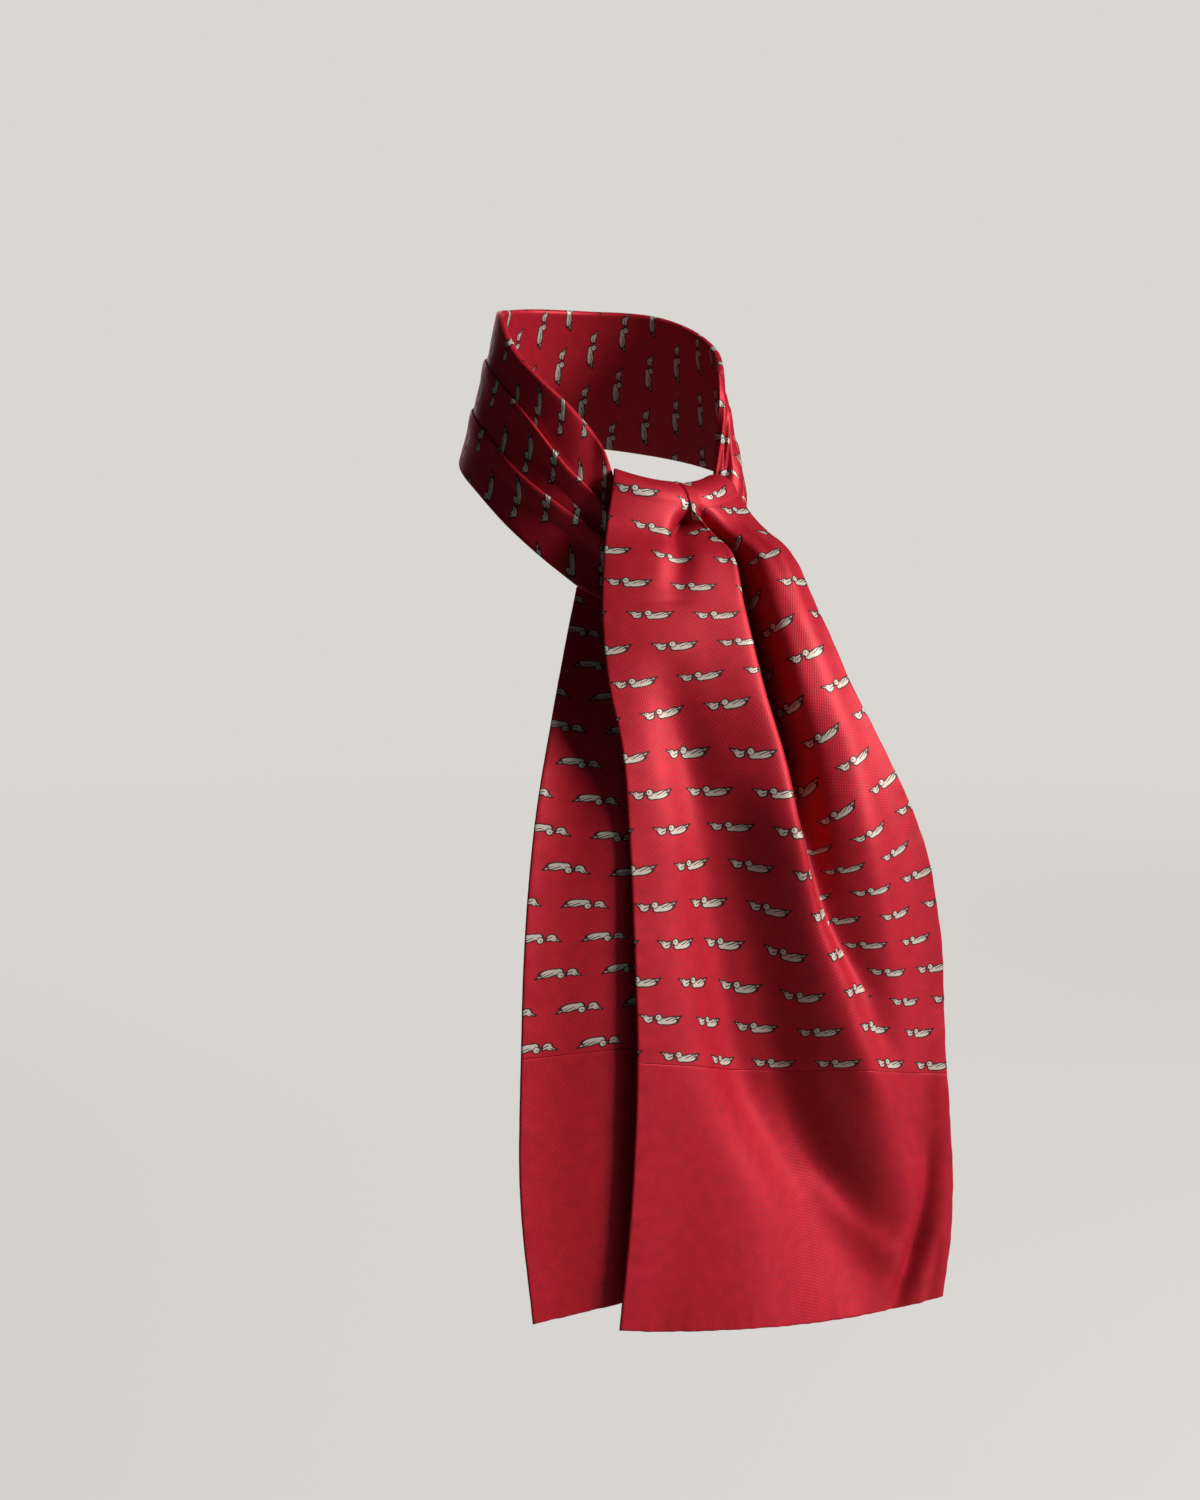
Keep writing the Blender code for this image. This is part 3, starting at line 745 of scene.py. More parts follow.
@dataclass(frozen=True)
class SilkTwill:
    """Silk twill, woven in a steep diagonal, piece dyed red and printed.

    Filament silk gives a soft satin light that keeps the cloth's own red, and
    the twill's fine ribs break it up. Real ribs lie about 0.5 mm apart, too
    fine for the render, so they are drawn about twice as coarse.
    """

    name: str
    surface: Surface
    ground: str = "#B01428"
    rib_shade: str = "#860C1C"
    drawing: str = "#200C10"
    filling: str = "#ADA698"
    # Painted shade: near-black red mixed into the colour, by this share, deep in the tuck and the pinch
    # where shade falls.
    painted_tuck_shade: str = "#1A0307"
    painted_shade_share: float = 0.9
    highlight: str = "#FF8E8A"
    sheen: str = "#E0353F"
    metallic: float = 0.30
    gloss: float = 0.16
    gloss_roughness: float = 0.52
    roughness: float = 0.56
    specular: float = 0.5
    sheen_share: float = 0.06
    sheen_roughness: float = 0.35
    rib_mm: float = 1.2
    grain: float = 0.30
    rib_turn: float = 26.0
    rib_depth: float = 0.018
    thread_rate: tuple = (0.45, 0.75)
    slub_mm: float = 7.0
    crease_mm: float = 34.0
    crease_depth: float = 0.35
    repeat: DuckRepeat = DuckRepeat()

    def build(self) -> bpy.types.Material:
        """Make the material's nodes.

        Returns:
            The material.
        """
        material = bpy.data.materials.new(self.name)
        material.use_nodes = True
        tree = material.node_tree
        shader = tree.nodes["Principled BSDF"]
        place = add_node(tree, "ShaderNodeUVMap", uv_map="cloth")
        cloth_mm = add_node(tree, VECTOR_MATH, {0: place, "Scale": 1 / MM}, operation="SCALE")
        turn = np.radians(self.rib_turn)
        rate = 2 * np.pi / self.rib_mm
        rib = self.wave(tree, cloth_mm, (rate * np.cos(turn), -rate * np.sin(turn), 0))
        thread = self.wave(tree, cloth_mm, (self.thread_rate[0] * rate, self.thread_rate[1] * rate, 0))
        tree.links.new(self.colour(tree, cloth_mm, rib, thread), shader.inputs["Base Color"])
        constants = {
            "Metallic": self.metallic,
            "Roughness": self.roughness,
            "Specular IOR Level": self.specular,
            "Specular Tint": linear(self.highlight),
            "Coat Weight": self.gloss,
            "Coat Roughness": self.gloss_roughness,
            "Sheen Weight": self.sheen_share,
            "Sheen Roughness": self.sheen_roughness,
            "Sheen Tint": linear(self.sheen),
        }
        for name, value in constants.items():
            shader.inputs[name].default_value = value
        tree.links.new(self.relief(tree, cloth_mm, rib), shader.inputs["Normal"])
        return material

    def wave(self, tree: Tree, cloth_mm: Socket, direction: tuple) -> Socket:
        """Sine of the cloth's place along a direction, whose length is the wave's rate."""
        phase = add_node(tree, VECTOR_MATH, {0: cloth_mm, 1: direction}, "Value", operation="DOT_PRODUCT")
        return add_node(tree, MATH, {0: phase}, operation="SINE")

    def colour(self, tree: Tree, cloth_mm: Socket, rib: Socket, thread: Socket) -> Socket:
        """Dyed ground shaded by rib, thread and slub, then the print, then painted shade deep in the tuck.

        Args:
            tree: The material's node tree.
            cloth_mm: Cloth coordinates in millimetres.
            rib: Wave of the ribs.
            thread: Wave of the threads across them.

        Returns:
            The cloth's colour.
        """
        slubs = {"Vector": cloth_mm, "Scale": 1 / self.slub_mm, "Detail": 3.0}
        slub = add_node(tree, "ShaderNodeTexNoise", slubs)
        grain = add_node(tree, MATH, {0: rib, 1: thread}, operation="ADD")
        shade = add_node(tree, MATH, {0: grain, 1: self.grain, 2: slub}, operation="MULTIPLY_ADD")
        colour = self.mixed(tree, shade, linear(self.ground), linear(self.rib_shade))
        if self.surface is Surface.PRINTED:
            dark, pale = self.repeat.masks(tree, cloth_mm)
            colour = self.mixed(tree, dark, colour, linear(self.drawing))
            colour = self.mixed(tree, pale, colour, linear(self.filling))
        # Painted shade: the colour drawn towards near black where the mesh's attribute marks the deep tuck
        # and pinch.
        painted_tuck_shade = add_node(tree, "ShaderNodeAttribute", None, "Fac", attribute_name="painted_tuck_shade")
        deep = add_node(tree, MATH, {0: painted_tuck_shade, 1: self.painted_shade_share}, operation="MULTIPLY")
        return self.mixed(tree, deep, colour, linear(self.painted_tuck_shade))

    def mixed(self, tree: Tree, share: Socket, first: Socket | tuple, second: Socket | tuple) -> Socket:
        """Blend of two colours by a share."""
        inputs = {MIX_SHARE: share, MIX_FIRST: first, MIX_SECOND: second}
        return add_node(tree, "ShaderNodeMix", inputs, MIX_COLOUR, data_type="RGBA")

    def relief(self, tree: Tree, cloth_mm: Socket, rib: Socket) -> Socket:
        """Normal with the twill's ribs and the faint hand creases.

        Args:
            tree: The material's node tree.
            cloth_mm: Cloth coordinates in millimetres.
            rib: Wave of the ribs.

        Returns:
            The normal.
        """
        creases = {"Vector": cloth_mm, "Scale": 1 / self.crease_mm, "Detail": 2.0}
        crease = add_node(tree, "ShaderNodeTexNoise", creases)
        hand_creases = {"Height": crease, "Strength": 1.0, "Distance": self.crease_depth * MM}
        soft = add_node(tree, "ShaderNodeBump", hand_creases)
        ribs = {"Height": rib, "Strength": 1.0, "Distance": self.rib_depth * MM, "Normal": soft}
        return add_node(tree, "ShaderNodeBump", ribs)


def dress(name: str, node: str, mesh: bpy.types.Mesh, finish: SilkTwill) -> Piece:
    """Put a cloth shell in the scene in place of its CAD solid.

    Args:
        name: The piece's name.
        node: The CAD node that it stands for.
        mesh: Its mesh.
        finish: Its silk.

    Returns:
        The piece.
    """
    piece = bpy.data.objects.new(name, mesh)
    bpy.context.scene.collection.objects.link(piece)
    mesh.materials.append(finish.build())
    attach(piece, "root")
    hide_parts(node)
    LOG.info("%s: %d faces", name, len(mesh.polygons))
    return piece


class LapPoint(NamedTuple):
    """A point of the band's section: millimetres down from its edge or fold, and outwards."""

    down: float
    out: float


TOP_EDGE = (
    LapPoint(0.0, 1.2),
    LapPoint(0.088, 1.2),
    LapPoint(0.385, 1.2),
    LapPoint(1.1, 1.5),
    LapPoint(3.3, 1.6),
)
BOTTOM_EDGE = (
    LapPoint(-3.3, 0.2),
    LapPoint(-1.1, 0.0),
    LapPoint(-0.385, 0.0),
    LapPoint(-0.088, 0.0),
    LapPoint(0.0, 0.0),
)
PLEAT_FOLD = (
    LapPoint(-5.0, 0.10),
    LapPoint(-1.5, 0.0),
    LapPoint(1.2, -0.05),
    LapPoint(3.2, 0.0),
    LapPoint(4.0, 0.35),
    LapPoint(3.4, 0.7),
    LapPoint(1.2, 1.0),
    LapPoint(0.3, 1.25),
    LapPoint(0.0, 1.7),
    LapPoint(0.3, 2.3),
    LapPoint(1.2, 2.6),
    LapPoint(3.5, 2.4),
    LapPoint(8.0, 1.35),
    LapPoint(12.5, 0.3),
)


@dataclass
class NeckBand:
    """The pleated band round the nape: three pleats, each lapped up over the one above."""

    steps_round: int = 260
    edge_points: int = 4
    finer: int = 3
    lap_waver: float = 0.7 * MM
    waver_round: float = 0.18
    lower_waver: float = 0.8
    puff: float = 0.3 * MM
    puff_round: float = 0.35
    puff_down: float = 0.6
    front_rise: float = 1.65
    back_rise: float = 0.5
    rise_angles: tuple = (80.0, 42.0)
    throat_hollow: float = 2.5 * MM
    hollow_angles: tuple = (75.0, 45.0)
    first_row: float = 6 * MM
    finish: SilkTwill = SilkTwill("neck_band_twill", Surface.PRINTED)

    def section_points(self, height: Grid, upper: Grid, lower: Grid, rise: Grid) -> tuple[Grid, Grid]:
        """Sections of the band: shares down it and heights of its face.

        Args:
            height: The band's real height at each section.
            upper: Share at which the middle pleat's fold edge lies.
            lower: Share at which the lower pleat's fold edge lies.
            rise: How far the fold edges stand out, 1 for the heights of the table.

        Returns:
            Shares down the band and heights outwards, section by point.
        """
        level = np.ones_like(height)
        parts = (
            (0 * level, TOP_EDGE, level),
            (upper, PLEAT_FOLD, rise),
            (lower, PLEAT_FOLD, rise),
            (level, BOTTOM_EDGE, level),
        )
        shares, outs = [], []
        for edge, table, stretch in parts:
            down, out = MM * np.array(table).T
            shares.append(edge[:, None] + down / height[:, None])
            outs.append(out * stretch[:, None])
        return np.concatenate(shares, 1), np.concatenate(outs, 1)

    def sections(self) -> tuple[Grid, Grid, Grid, Grid, Grid]:
        """Read the band's sections on the fine grid, with wavering pleats and soft puffs.

        Returns:
            The upper and the lower edge, the shares down the band, the heights
            outwards, and the length walked round.
        """
        angle = np.linspace(BAND_SECTIONS[0].angle, BAND_SECTIONS[-1].angle, self.steps_round)
        read = {name: column(BAND_SECTIONS, name, angle) for name in BandSection._fields}
        top = ring_point(angle, read["top_radius"], read["top_height"])
        low = ring_point(angle, read["bottom_radius"], read["bottom_height"])
        height = np.linalg.norm(low - top, axis=-1)
        round_length = walked(0.5 * (top + low)[:, None], 0)[:, 0]
        waver = self.lap_waver * ripples(PUCKER_WAVES, self.waver_round * round_length) / height
        rise = self.back_rise + (self.front_rise - self.back_rise) * smooth_step(*self.rise_angles, angle)
        lower = read["lower_lap"] - self.lower_waver * waver
        shares, outs = self.section_points(height, read["upper_lap"] + waver, lower, rise)
        index = np.arange(shares.shape[1])
        keep = self.edge_points
        spans = len(index) - 2 * keep + 1
        between = np.linspace(keep - 1, len(index) - keep, self.finer * spans + 1)[1:-1]
        fine = np.concatenate([index[:keep], between, index[-keep:]])
        share = np.stack([through(index, row, fine) for row in shares])
        out = np.stack([through(index, row, fine) for row in outs])
        place = self.puff_round * round_length[:, None] + self.puff_down * share * height[:, None]
        out += self.puff * ripples(PUCKER_WAVES, place)
        hollow = self.throat_hollow * smooth_step(*self.hollow_angles, angle)[:, None]
        out -= hollow * 4 * share * (1 - share)
        return top, low, share, out, round_length

    def build(self) -> Piece:
        """Make the band's cloth.

        Returns:
            The piece.
        """
        top, low, share, out, round_length = self.sections()
        normal = self.normals(top, low)[:, None]
        face = self.surface(top, low, share) + normal * out[..., None]
        keep = self.edge_points
        plain = share[0].copy()
        plain[keep - 1 : 1 - keep] = np.linspace(plain[keep - 1], plain[-keep], len(plain) - 2 * keep + 2)
        back = self.surface(top, low, np.broadcast_to(plain, share.shape)) - normal * BAND_WALL
        rims = Rims(top=0.25 * MM, bottom=0.25 * MM, start=1.1 * MM, end=1.1 * MM)
        face, back = round_off(face, back, rims)
        across = walked(face, 1)
        along = round_length[:, None] + 0 * across
        prints = np.stack([across[:, -1:] - across + self.first_row, along], -1)
        lining = np.stack([walked(back, 1), along], -1)
        cloth = Cloth(face, back, cell_corners(prints), cell_corners(lining))
        piece = dress("pleated_band", "neck_band", shell_mesh("pleated_band", cloth, 1), self.finish)
        return piece

    def surface(self, top: Grid, low: Grid, share: Grid) -> Grid:
        """Points straight between the band's two edges."""
        return top[:, None] * (1 - share[..., None]) + low[:, None] * share[..., None]

    def normals(self, top: Grid, low: Grid) -> Grid:
        """One outward normal for each section of the band.

        Args:
            top: The upper edge.
            low: The lower edge.

        Returns:
            Unit normals.
        """
        along = np.gradient(0.5 * (top + low), axis=0)
        normal = np.cross(along, low - top)
        return normal / np.linalg.norm(normal, axis=-1, keepdims=True)


def wound_face(sections: tuple, folds: dict, steps: int, across: Grid) -> Grid:
    """Outer face of a wound stretch: lines between two edge curves, moved out by crumples.

    Args:
        sections: The stretch's sections.
        folds: Its crumples, in shares of the column crumple.
        steps: Rows along the stretch.
        across: Shares across it.

    Returns:
        The grid of points.
    """
    place = np.linspace(0, len(sections) - 1, steps)
    rows = np.arange(len(sections))
    read = {
        name: through(rows, [getattr(section, name) for section in sections], place)
        for name in StretchSection._fields
    }
    top = ring_point(read["top_angle"], read["top_radius"], read["top_height"])
    low = ring_point(read["bottom_angle"], read["bottom_radius"], read["bottom_height"])
    share = across[None, :, None]
    middle = top[:, None, :] * (1 - share) + low[:, None, :] * share
    height, _ = fold_shift(folds, across, place / (len(sections) - 1))
    crumple = read["crumple"][:, None] * height
    return middle + face_normals(middle) * crumple[..., None]


LEFT_CREASES = {
    "edge_ridge": (
        FoldKey(0.0, 0.07, 0.040, 0.2),
        FoldKey(0.2, 0.09, 0.045, 0.7),
        FoldKey(1.0, 0.06, 0.040, 0.2),
    ),
    "inner_trough": (
        FoldKey(0.0, 0.40, 0.030, -0.3),
        FoldKey(0.10, 0.36, 0.035, -1.1),
        FoldKey(0.20, 0.45, 0.040, -1.4),
        FoldKey(0.32, 0.38, 0.035, -0.9),
        FoldKey(0.7, 0.44, 0.035, -0.2),
    ),
    "outer_trough": (
        FoldKey(0.0, 0.82, 0.030, -0.2),
        FoldKey(0.14, 0.88, 0.030, -0.9),
        FoldKey(0.26, 0.80, 0.035, -1.1),
        FoldKey(0.5, 0.86, 0.030, 0.0),
    ),
    "cross_tuck": (
        FoldKey(0.06, 0.18, 0.030, 0.0),
        FoldKey(0.18, 0.22, 0.032, -0.9),
        FoldKey(0.30, 0.30, 0.030, 0.0),
    ),
}


@dataclass
class WoundStretches:
    """The left stretch and the crossing that lie under the front blade's root."""

    left_steps: int = 150
    left_stations: int = 90
    left_rim: float = 0.012
    crossing_steps: int = 220
    crossing_stations: int = 40
    crossing_rim: float = 0.015
    finish_left: SilkTwill = SilkTwill("left_stretch_twill", Surface.PRINTED)
    finish_crossing: SilkTwill = SilkTwill("crossing_twill", Surface.PRINTED)

    def shell(self, name: str, node: str, face: Grid, facing: int, finish: SilkTwill) -> Piece:
        """Shell of one wound stretch, its print running along it towards the nape.

        Args:
            name: The piece's name.
            node: The CAD node that it stands for.
            face: Its outer grid.
            facing: 1 where rows crossed with columns point outwards, else -1.
            finish: Its silk.

        Returns:
            The piece.
        """
        back = face - facing * face_normals(face) * BLADE_WALL
        face, back = round_off(face, back, Rims())
        width = float(np.median(walked(face, 1)[:, -1]))
        laid = cell_corners(facing * (np.array([width, 0.0]) - laid_flat(face, 0)))
        mesh = shell_mesh(name, Cloth(face, back, laid, turned_over(laid)), facing)
        piece = dress(name, node, mesh, finish)
        return piece

    def build(self) -> list[Piece]:
        """Make both stretches.

        Returns:
            The left stretch and the crossing.
        """
        across = edge_stations(self.left_stations, self.left_rim)
        left = wound_face(LEFT_SECTIONS, LEFT_FOLDS | LEFT_CREASES, self.left_steps, across)
        across = edge_stations(self.crossing_stations, self.crossing_rim)
        crossing = wound_face(CROSSING_SECTIONS, {}, self.crossing_steps, across)
        return [
            self.shell("crumpled_stretch", "left_stretch", left, 1, self.finish_left),
            self.shell("crossing_fold", "crossing", crossing, -1, self.finish_crossing),
        ]


def blade_face(sections: tuple, folds: dict, across: Grid, drop: Grid) -> Grid:
    """Outer face of a blade: lines between its edges, bowed out, then folded.

    A fold that stands proud takes up length, so it also lifts the cloth by
    FOLD_LIFT times the drop, and a valley hangs lower.

    Args:
        sections: The blade's sections.
        folds: Its folds.
        across: Shares across it.
        drop: Drops of its rows.

    Returns:
        The grid of points, drop by across.
    """
    right = np.stack([column(sections, "right_" + axis, drop) for axis in "xyz"], -1)
    left = np.stack([column(sections, "left_" + axis, drop) for axis in "xyz"], -1)
    share = across[None, :, None]
    face = right[:, None, :] * (1 - share) + left[:, None, :] * share
    bow = 4 * across * (1 - across)
    height, lean = fold_shift(folds, across, drop)
    face[..., 1] -= column(sections, "bulge", drop)[:, None] * bow[None, :] + height
    face[..., 0] += lean
    face[..., 2] -= column(sections, "sag", drop)[:, None] * bow[None, :]
    face[..., 2] += FOLD_LIFT * drop[:, None] * height
    return face


@dataclass
class EdgePuckers:
    """Small uneven puckers where a blade's edges were sewn and turned."""

    height: float = 0.30 * MM
    reach: float = 5 * MM
    far_edge_shift: float = 50 * MM
    hem_shift: float = 20 * MM

    def lift(self, face: Grid) -> Grid:
        """Height of the puckers over the face: waves along each edge that die off inwards.

        Args:
            face: The blade's grid.

        Returns:
            The height at each point.
        """
        down = walked(face, 0)
        along = walked(face, 1)
        edges = (
            (along, PUCKER_WAVES, down),
            (along[:, -1:] - along, PUCKER_WAVES, down + self.far_edge_shift),
            (down[-1:] - down, HEM_WAVES, along + self.hem_shift),
        )
        lift = sum(np.exp(-away / self.reach) * ripples(waves, at) for away, waves, at in edges)
        return self.height * lift


def with_close_rows(rows: Grid, close: tuple) -> Grid:
    """Rows with a few more, close together by a seam or a hem, in order."""
    return np.sort(np.concatenate([rows, close]))


PLAIN_ROWS = with_close_rows(np.linspace(0, 1, 74), (0.0008, 0.003, 0.9935, 0.997, 0.999))


@dataclass
class Blade:
    """A hanging blade: its printed part, its plain end, and the seam between them."""

    sections: tuple
    folds: dict
    pressed_lines: tuple
    seam: float
    stations: Grid
    rows_print: Grid
    puckers: EdgePuckers = field(default_factory=EdgePuckers)

    def drops(self) -> Grid:
        """Drops of all rows, with one row on each side of the seam's fine line.

        Returns:
            The drops, from the top down.
        """
        above = self.rows_print * (self.seam - 0.5 * SEAM_LINE)
        below_start = self.seam + 0.5 * SEAM_LINE
        below = below_start + PLAIN_ROWS * (self.sections[-1].drop - below_start)
        return np.concatenate([above, below])

    def face(self, drop: Grid) -> Grid:
        """Folded face of the whole blade, with puckers at its edges.

        Args:
            drop: Drops of its rows.

        Returns:
            The grid of points, drop by station.
        """
        face = blade_face(self.sections, self.folds, self.stations, drop)
        lift = self.puckers.lift(face) + pressed(self.pressed_lines, self.stations, drop)
        return face + face_normals(face) * lift[..., None]


def evened(values: Grid, passes: int = 12) -> Grid:
    """Even out rows of values down a column by repeated three-point averages."""
    for _ in range(passes):
        middle = 0.25 * values[:-2] + 0.5 * values[1:-1] + 0.25 * values[2:]
        values = np.concatenate([values[:1], middle, values[-1:]])
    return values


def laid_flat(face: Grid, seam_row: int) -> Grid:
    """Cloth coordinates laid out flat from the first column, which is a straight edge.

    Each next column is put beside the last one as it lies on the cloth: the
    step between them is split into a part along the column and a part square
    to it, and both are taken in the plane along the column laid before.

    Args:
        face: The blade's grid.
        seam_row: The row at which the height along the edge is zero.

    Returns:
        Distance from the edge and height above the seam, at each point.
    """
    down = walked(face, 0)
    edge = np.stack([0 * down[:, 0], down[seam_row, 0] - down[:, 0]], -1)
    flat = [edge]
    for left, right in zip(np.moveaxis(face, 1, 0)[:-1], np.moveaxis(face, 1, 0)[1:]):
        tangent = np.gradient(left, axis=0)
        tangent /= np.linalg.norm(tangent, axis=-1, keepdims=True)
        step = right - left
        along = np.sum(step * tangent, -1)
        away = np.sqrt(np.maximum(np.sum(step * step, -1) - along**2, 0))
        line = evened(np.gradient(flat[-1], axis=0))
        line /= np.linalg.norm(line, axis=-1, keepdims=True)
        square = np.stack([-line[:, 1], line[:, 0]], -1)
        flat.append(flat[-1] + along[:, None] * line + away[:, None] * square)
    return np.stack(flat, 1)


def laid_from_edges(face: Grid, seam_row: int, settled: Grid) -> tuple[Grid, Grid]:
    """Cloth coordinates of a blade laid from its first edge and from its last one.

    Args:
        face: The blade's grid.
        seam_row: The row of the seam, where the height is zero.
        settled: For each row, 1 where lengths along rows and columns serve instead.

    Returns:
        The two layouts, which agree where settled is 1.
    """
    down = walked(face, 0)
    plain = np.stack([walked(face, 1), down[seam_row] - down], -1)
    from_first = laid_flat(face, seam_row)
    from_last = laid_flat(face[:, ::-1], seam_row)[:, ::-1] * np.array([-1.0, 1.0])
    from_last[..., 0] += plain[seam_row, -1, 0]
    share = settled[:, None, None]
    return from_first * (1 - share) + plain * share, from_last * (1 - share) + plain * share


FRONT_CREASES = {
    "pinch_strip": (
        FoldKey(0.000, 0.52, 0.018, 0.0006),
        FoldKey(0.010, 0.545, 0.022, 0.0020),
        FoldKey(0.030, 0.565, 0.022, 0.0012),
        FoldKey(0.060, 0.540, 0.026, 0.0),
    ),
    "pinch_dent": (
        FoldKey(0.000, 0.49, 0.020, -0.0008),
        FoldKey(0.010, 0.47, 0.026, -0.0042),
        FoldKey(0.026, 0.41, 0.034, -0.0024),
        FoldKey(0.052, 0.36, 0.040, 0.0),
    ),
    "tuck_head": (
        FoldKey(0.000, 0.60, 0.030, 0.0),
        FoldKey(0.014, 0.635, 0.034, -0.0060),
        FoldKey(0.028, 0.665, 0.038, -0.0050),
        FoldKey(0.045, 0.675, 0.040, 0.0),
    ),
    "shoulder_trough": (
        FoldKey(0.004, 0.84, 0.030, 0.0),
        FoldKey(0.030, 0.85, 0.034, -0.0012),
        FoldKey(0.075, 0.89, 0.034, 0.0),
    ),
    "flank_hollow": (
        FoldKey(0.140, 0.360, 0.050, 0.0),
        FoldKey(0.171, 0.360, 0.055, -0.0032),
        FoldKey(0.212, 0.400, 0.060, -0.0048),
        FoldKey(0.250, 0.440, 0.060, -0.0062),
        FoldKey(0.2845, 0.480, 0.062, -0.0070),
        FoldKey(0.320, 0.560, 0.062, -0.0058),
        FoldKey(0.350, 0.660, 0.060, -0.0036),
        FoldKey(0.385, 0.740, 0.060, 0.0),
    ),
    "right_turn": (
        FoldKey(0.250, 1.0, 0.080, 0.0),
        FoldKey(0.2845, 1.0, 0.085, 0.0065, -0.0018),
        FoldKey(0.350, 1.0, 0.095, 0.0105, -0.0026),
        FoldKey(0.400, 1.0, 0.095, 0.0078, -0.0018),
        FoldKey(0.4185, 1.0, 0.090, 0.0048, -0.0010),
    ),
    "plain_groove": (
        FoldKey(0.318, 0.925, 0.018, 0.0),
        FoldKey(0.350, 0.905, 0.022, -0.0018),
        FoldKey(0.400, 0.860, 0.026, -0.0026),
        FoldKey(0.4185, 0.845, 0.030, -0.0018),
    ),
    "edge_groove": (
        FoldKey(0.375, 0.958, 0.014, 0.0),
        FoldKey(0.400, 0.950, 0.018, -0.0014),
        FoldKey(0.4185, 0.945, 0.020, -0.0016),
    ),
    "hem_hollow": (
        FoldKey(0.300, 0.16, 0.090, 0.0),
        FoldKey(0.370, 0.13, 0.095, -0.0018),
        FoldKey(0.4185, 0.10, 0.100, -0.0034),
    ),
    "hem_swell": (
        FoldKey(0.300, 0.34, 0.090, 0.0),
        FoldKey(0.370, 0.37, 0.100, 0.0020),
        FoldKey(0.4185, 0.39, 0.110, 0.0036),
    ),
    "plain_turn": (
        FoldKey(0.335, 0.58, 0.050, 0.0),
        FoldKey(0.355, 0.64, 0.055, 0.0016),
        FoldKey(0.385, 0.78, 0.060, 0.0022),
        FoldKey(0.410, 0.90, 0.060, 0.0),
    ),
}


class PressedLine(NamedTuple):
    """A shallow line pressed across a blade, where the cloth lay folded."""

    drop: float
    slope: float
    reach: float
    depth: float
    width: float


PRESSED_FADE = 0.12
FRONT_PRESSED = (
    PressedLine(0.0585, -0.004, 0.46, 0.00035, 0.0012),
    PressedLine(0.1700, 0.006, 0.20, 0.00012, 0.0014),
)
UNDER_PRESSED = (PressedLine(0.1180, 0.004, 0.60, 0.00020, 0.0014),)


def pressed(lines: tuple, across: Grid, drop: Grid) -> Grid:
    """Depth of the pressed lines: bell curves down the drop that die off across.

    Args:
        lines: The pressed lines.
        across: Shares across the blade.
        drop: Drops of its rows.

    Returns:
        Height, below zero in a line, on the grid drop by across.
    """
    height = np.zeros((len(drop), len(across)))
    for line in lines:
        offset = drop[:, None] - line.drop - line.slope * across[None, :]
        fade = 1 - smooth_step(line.reach - PRESSED_FADE, line.reach, across)[None, :]
        height -= line.depth * fade * np.exp(-((offset / line.width) ** 2))
    return height


class BladePart(NamedTuple):
    """One of a blade's two parts: its name, its CAD node and its silk."""

    name: str
    node: str
    finish: SilkTwill


def hang(parts: tuple, seam_row: int, cloth: Cloth) -> list[Piece]:
    """Dress a blade's printed part above its seam and its plain end below it.

    Args:
        parts: The printed part, then the plain end.
        seam_row: The first row below the seam.
        cloth: The whole blade's cloth.

    Returns:
        The two pieces.
    """
    splits = (
        (slice(None, seam_row), slice(None, seam_row - 1), Rims(bottom=SEAM_RIM)),
        (slice(seam_row, None), slice(seam_row, None), Rims(top=SEAM_RIM)),
    )
    pieces = []
    for part, (rows, cells, rims) in zip(parts, splits):
        face, back = round_off(cloth.face[rows], cloth.back[rows], rims)
        # Each part keeps its own rows of the painted shade.
        painted_tuck_shade = None if cloth.painted_tuck_shade is None else cloth.painted_tuck_shade[rows]
        shell = Cloth(face, back, cloth.face_print[cells], cloth.back_print[cells], painted_tuck_shade)
        piece = dress(part.name, part.node, shell_mesh(part.name, shell, 1), part.finish)
        pieces.append(piece)
    return pieces


